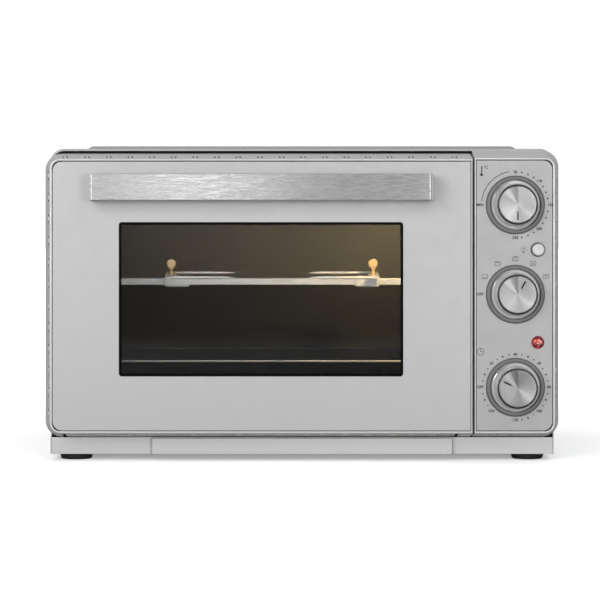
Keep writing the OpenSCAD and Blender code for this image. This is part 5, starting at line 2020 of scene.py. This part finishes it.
        # the thumbscrew's steel is painted orange for the lamp's warm light
        self._keep(moved(join(shank, head), at, self.turn), LAMP_WARMED_STEEL, name + "_fork", name + "_fork_screw")

    def _baking_tray(self) -> None:
        """The enamelled baking tray with rounded corners, a flat flange and a rolled edge."""
        box = Extent.of("baking_tray")
        r, top, tall = self.tray_corner, box.high.z, box.size.z
        steps = [(14.7, tall - 1.2), (13.9, tall - 1.5), (13.2, tall - 2.6), (7.4, 1.4), (6.9, 0.7), (6.3, 0.35),
                 (2.4, 0.35), (1.9, 0.1), (1.4, 0), (0.8, 0.1), (0.25, 0.5), (0, 1.1), (0.25, 1.7), (0.8, 2.1),
                 (1.5, 2.1), (2.1, 1.5), (6.1, 1.5), (6.5, 2.0), (12, tall - 1), (12.8, tall - 0.3), (14, tall)]
        outline = Outline(box.low.x, box.low.y, box.high.x, box.high.y, 0, r)
        pan = hoop("baking_pan", [outline.inset(edge, edge, depth - top) for edge, depth in steps], False, 10, True)
        pan.rotation_euler = (-math.pi / 2, 0, 0)
        settle(pan)

        def on_edge(centre: Vector, normal: Vector) -> bool:
            """Whether a face is on the rolled edge.

            Args:
                centre: the face's centre.
                normal: the face's normal.

            Returns:
                True on the rolled edge.
            """
            across = max(box.low.x + r - centre.x, centre.x - box.high.x + r, 0)
            along = max(box.low.y + r - centre.y, centre.y - box.high.y + r, 0)
            return math.hypot(across, along) > r - 1.7

        # the rolled edge is painted pale: a painted highlight along the tray's rim
        self._keep(pan, TRAY_ENAMEL, "baking_tray", "baking_tray", accents=[(TRAY_EDGE_HIGHLIGHT, on_edge)])

    def _lamp(self) -> None:
        """The lamp's dome and holder, and the cavity's lights."""
        box, holder = Extent.of("lamp_glass"), Extent.of("lamp_holder")
        dome = [(0, 0), (4, -0.15), (8, -0.55), (11, -1.6), (13.6, -3.4), (15.2, -5.8), (16, -8.6), (16, -18),
                (13.6, -18), (13.6, -8.4), (12.6, -5.8), (10.6, -3.9), (8, -2.9), (0, -2.4)]
        glass = turned("lamp_dome", [(r, -x) for r, x in dome], (box.low.x, box.centre.y, box.centre.z), Axis.X, 48)
        self._keep(glass, LAMP_GLOW, "root", "lamp_glass")
        low, long = holder.low.x, holder.size.x
        profile = [(0, 0), (5.4, 0), (6, 0.6), (6, 8), (19.4, 8), (20, 8.6), (20, 9.6), (19.4, 10), (12, 10.2),
                   (12, 16), (11.4, 16.4), (11.4, 17.6), (12, 18), (12, long - 1), (11, long), (0, long)]
        self._keep(turned("lamp_base", profile, (low, holder.centre.y, holder.centre.z), Axis.X, 40), CERAMIC, "root",
                   "lamp_holder")
        self._lights(box)

    def _lights(self, lamp: Extent) -> None:
        """The lamp's warm light, the fill under the roof and the light that only the spit and the tray take.

        Args:
            lamp: the box of the lamp's glass.
        """
        roof, mouth = Extent.of("cavity_wrap"), Extent.of("front_frame")
        bulb = Vector((lamp.low.x - self.bulb_gap, lamp.centre.y, lamp.centre.z)) * MM
        under_roof = Vector((-60, mouth.low.y + 50, roof.high.z - self.bulb_gap)) * MM
        below_spit = Vector((self.axis.x, mouth.low.y + 32, self.axis.z - 22)) * MM
        strip = {"shape": "RECTANGLE"}
        warm = add_light("cavity_lamp", "POINT", bulb, self.lamp_watts, shadow_soft_size=0.012, color=(1.0, 0.72, 0.36))
        fill = add_light("cavity_fill", "AREA", under_roof, self.fill_watts, (math.radians(38), 0, 0), **strip,
                         size=0.26, size_y=0.05, color=(0.90, 0.93, 1.0))
        accent = add_light("spit_light", "AREA", below_spit, self.accent_watts, (math.radians(95), 0, 0), **strip,
                           size=0.32, size_y=0.03)
        for light in (warm, fill, accent):
            light.visible_camera = False
        lit = bpy.data.collections.new("lit_spit")
        for piece in self.bright:
            lit.objects.link(piece)
        accent.light_linking.receiver_collection = lit


def main() -> None:
    """Builds the oven's looks in order."""
    logging.basicConfig(level=logging.INFO, format="%(name)s: %(message)s")
    bpy.context.scene.view_settings.view_transform = "Standard"
    studio, cavity, shape = Studio(), Cavity(), RimShape()
    for part in (studio, Cabinet(), Door(shape), ControlPanel(shape), cavity):
        LOG.info("building the %s", type(part).__name__)
        part.build()
    studio.shield(cavity.pieces)
    clear()


if __name__ == "__main__":
    main()
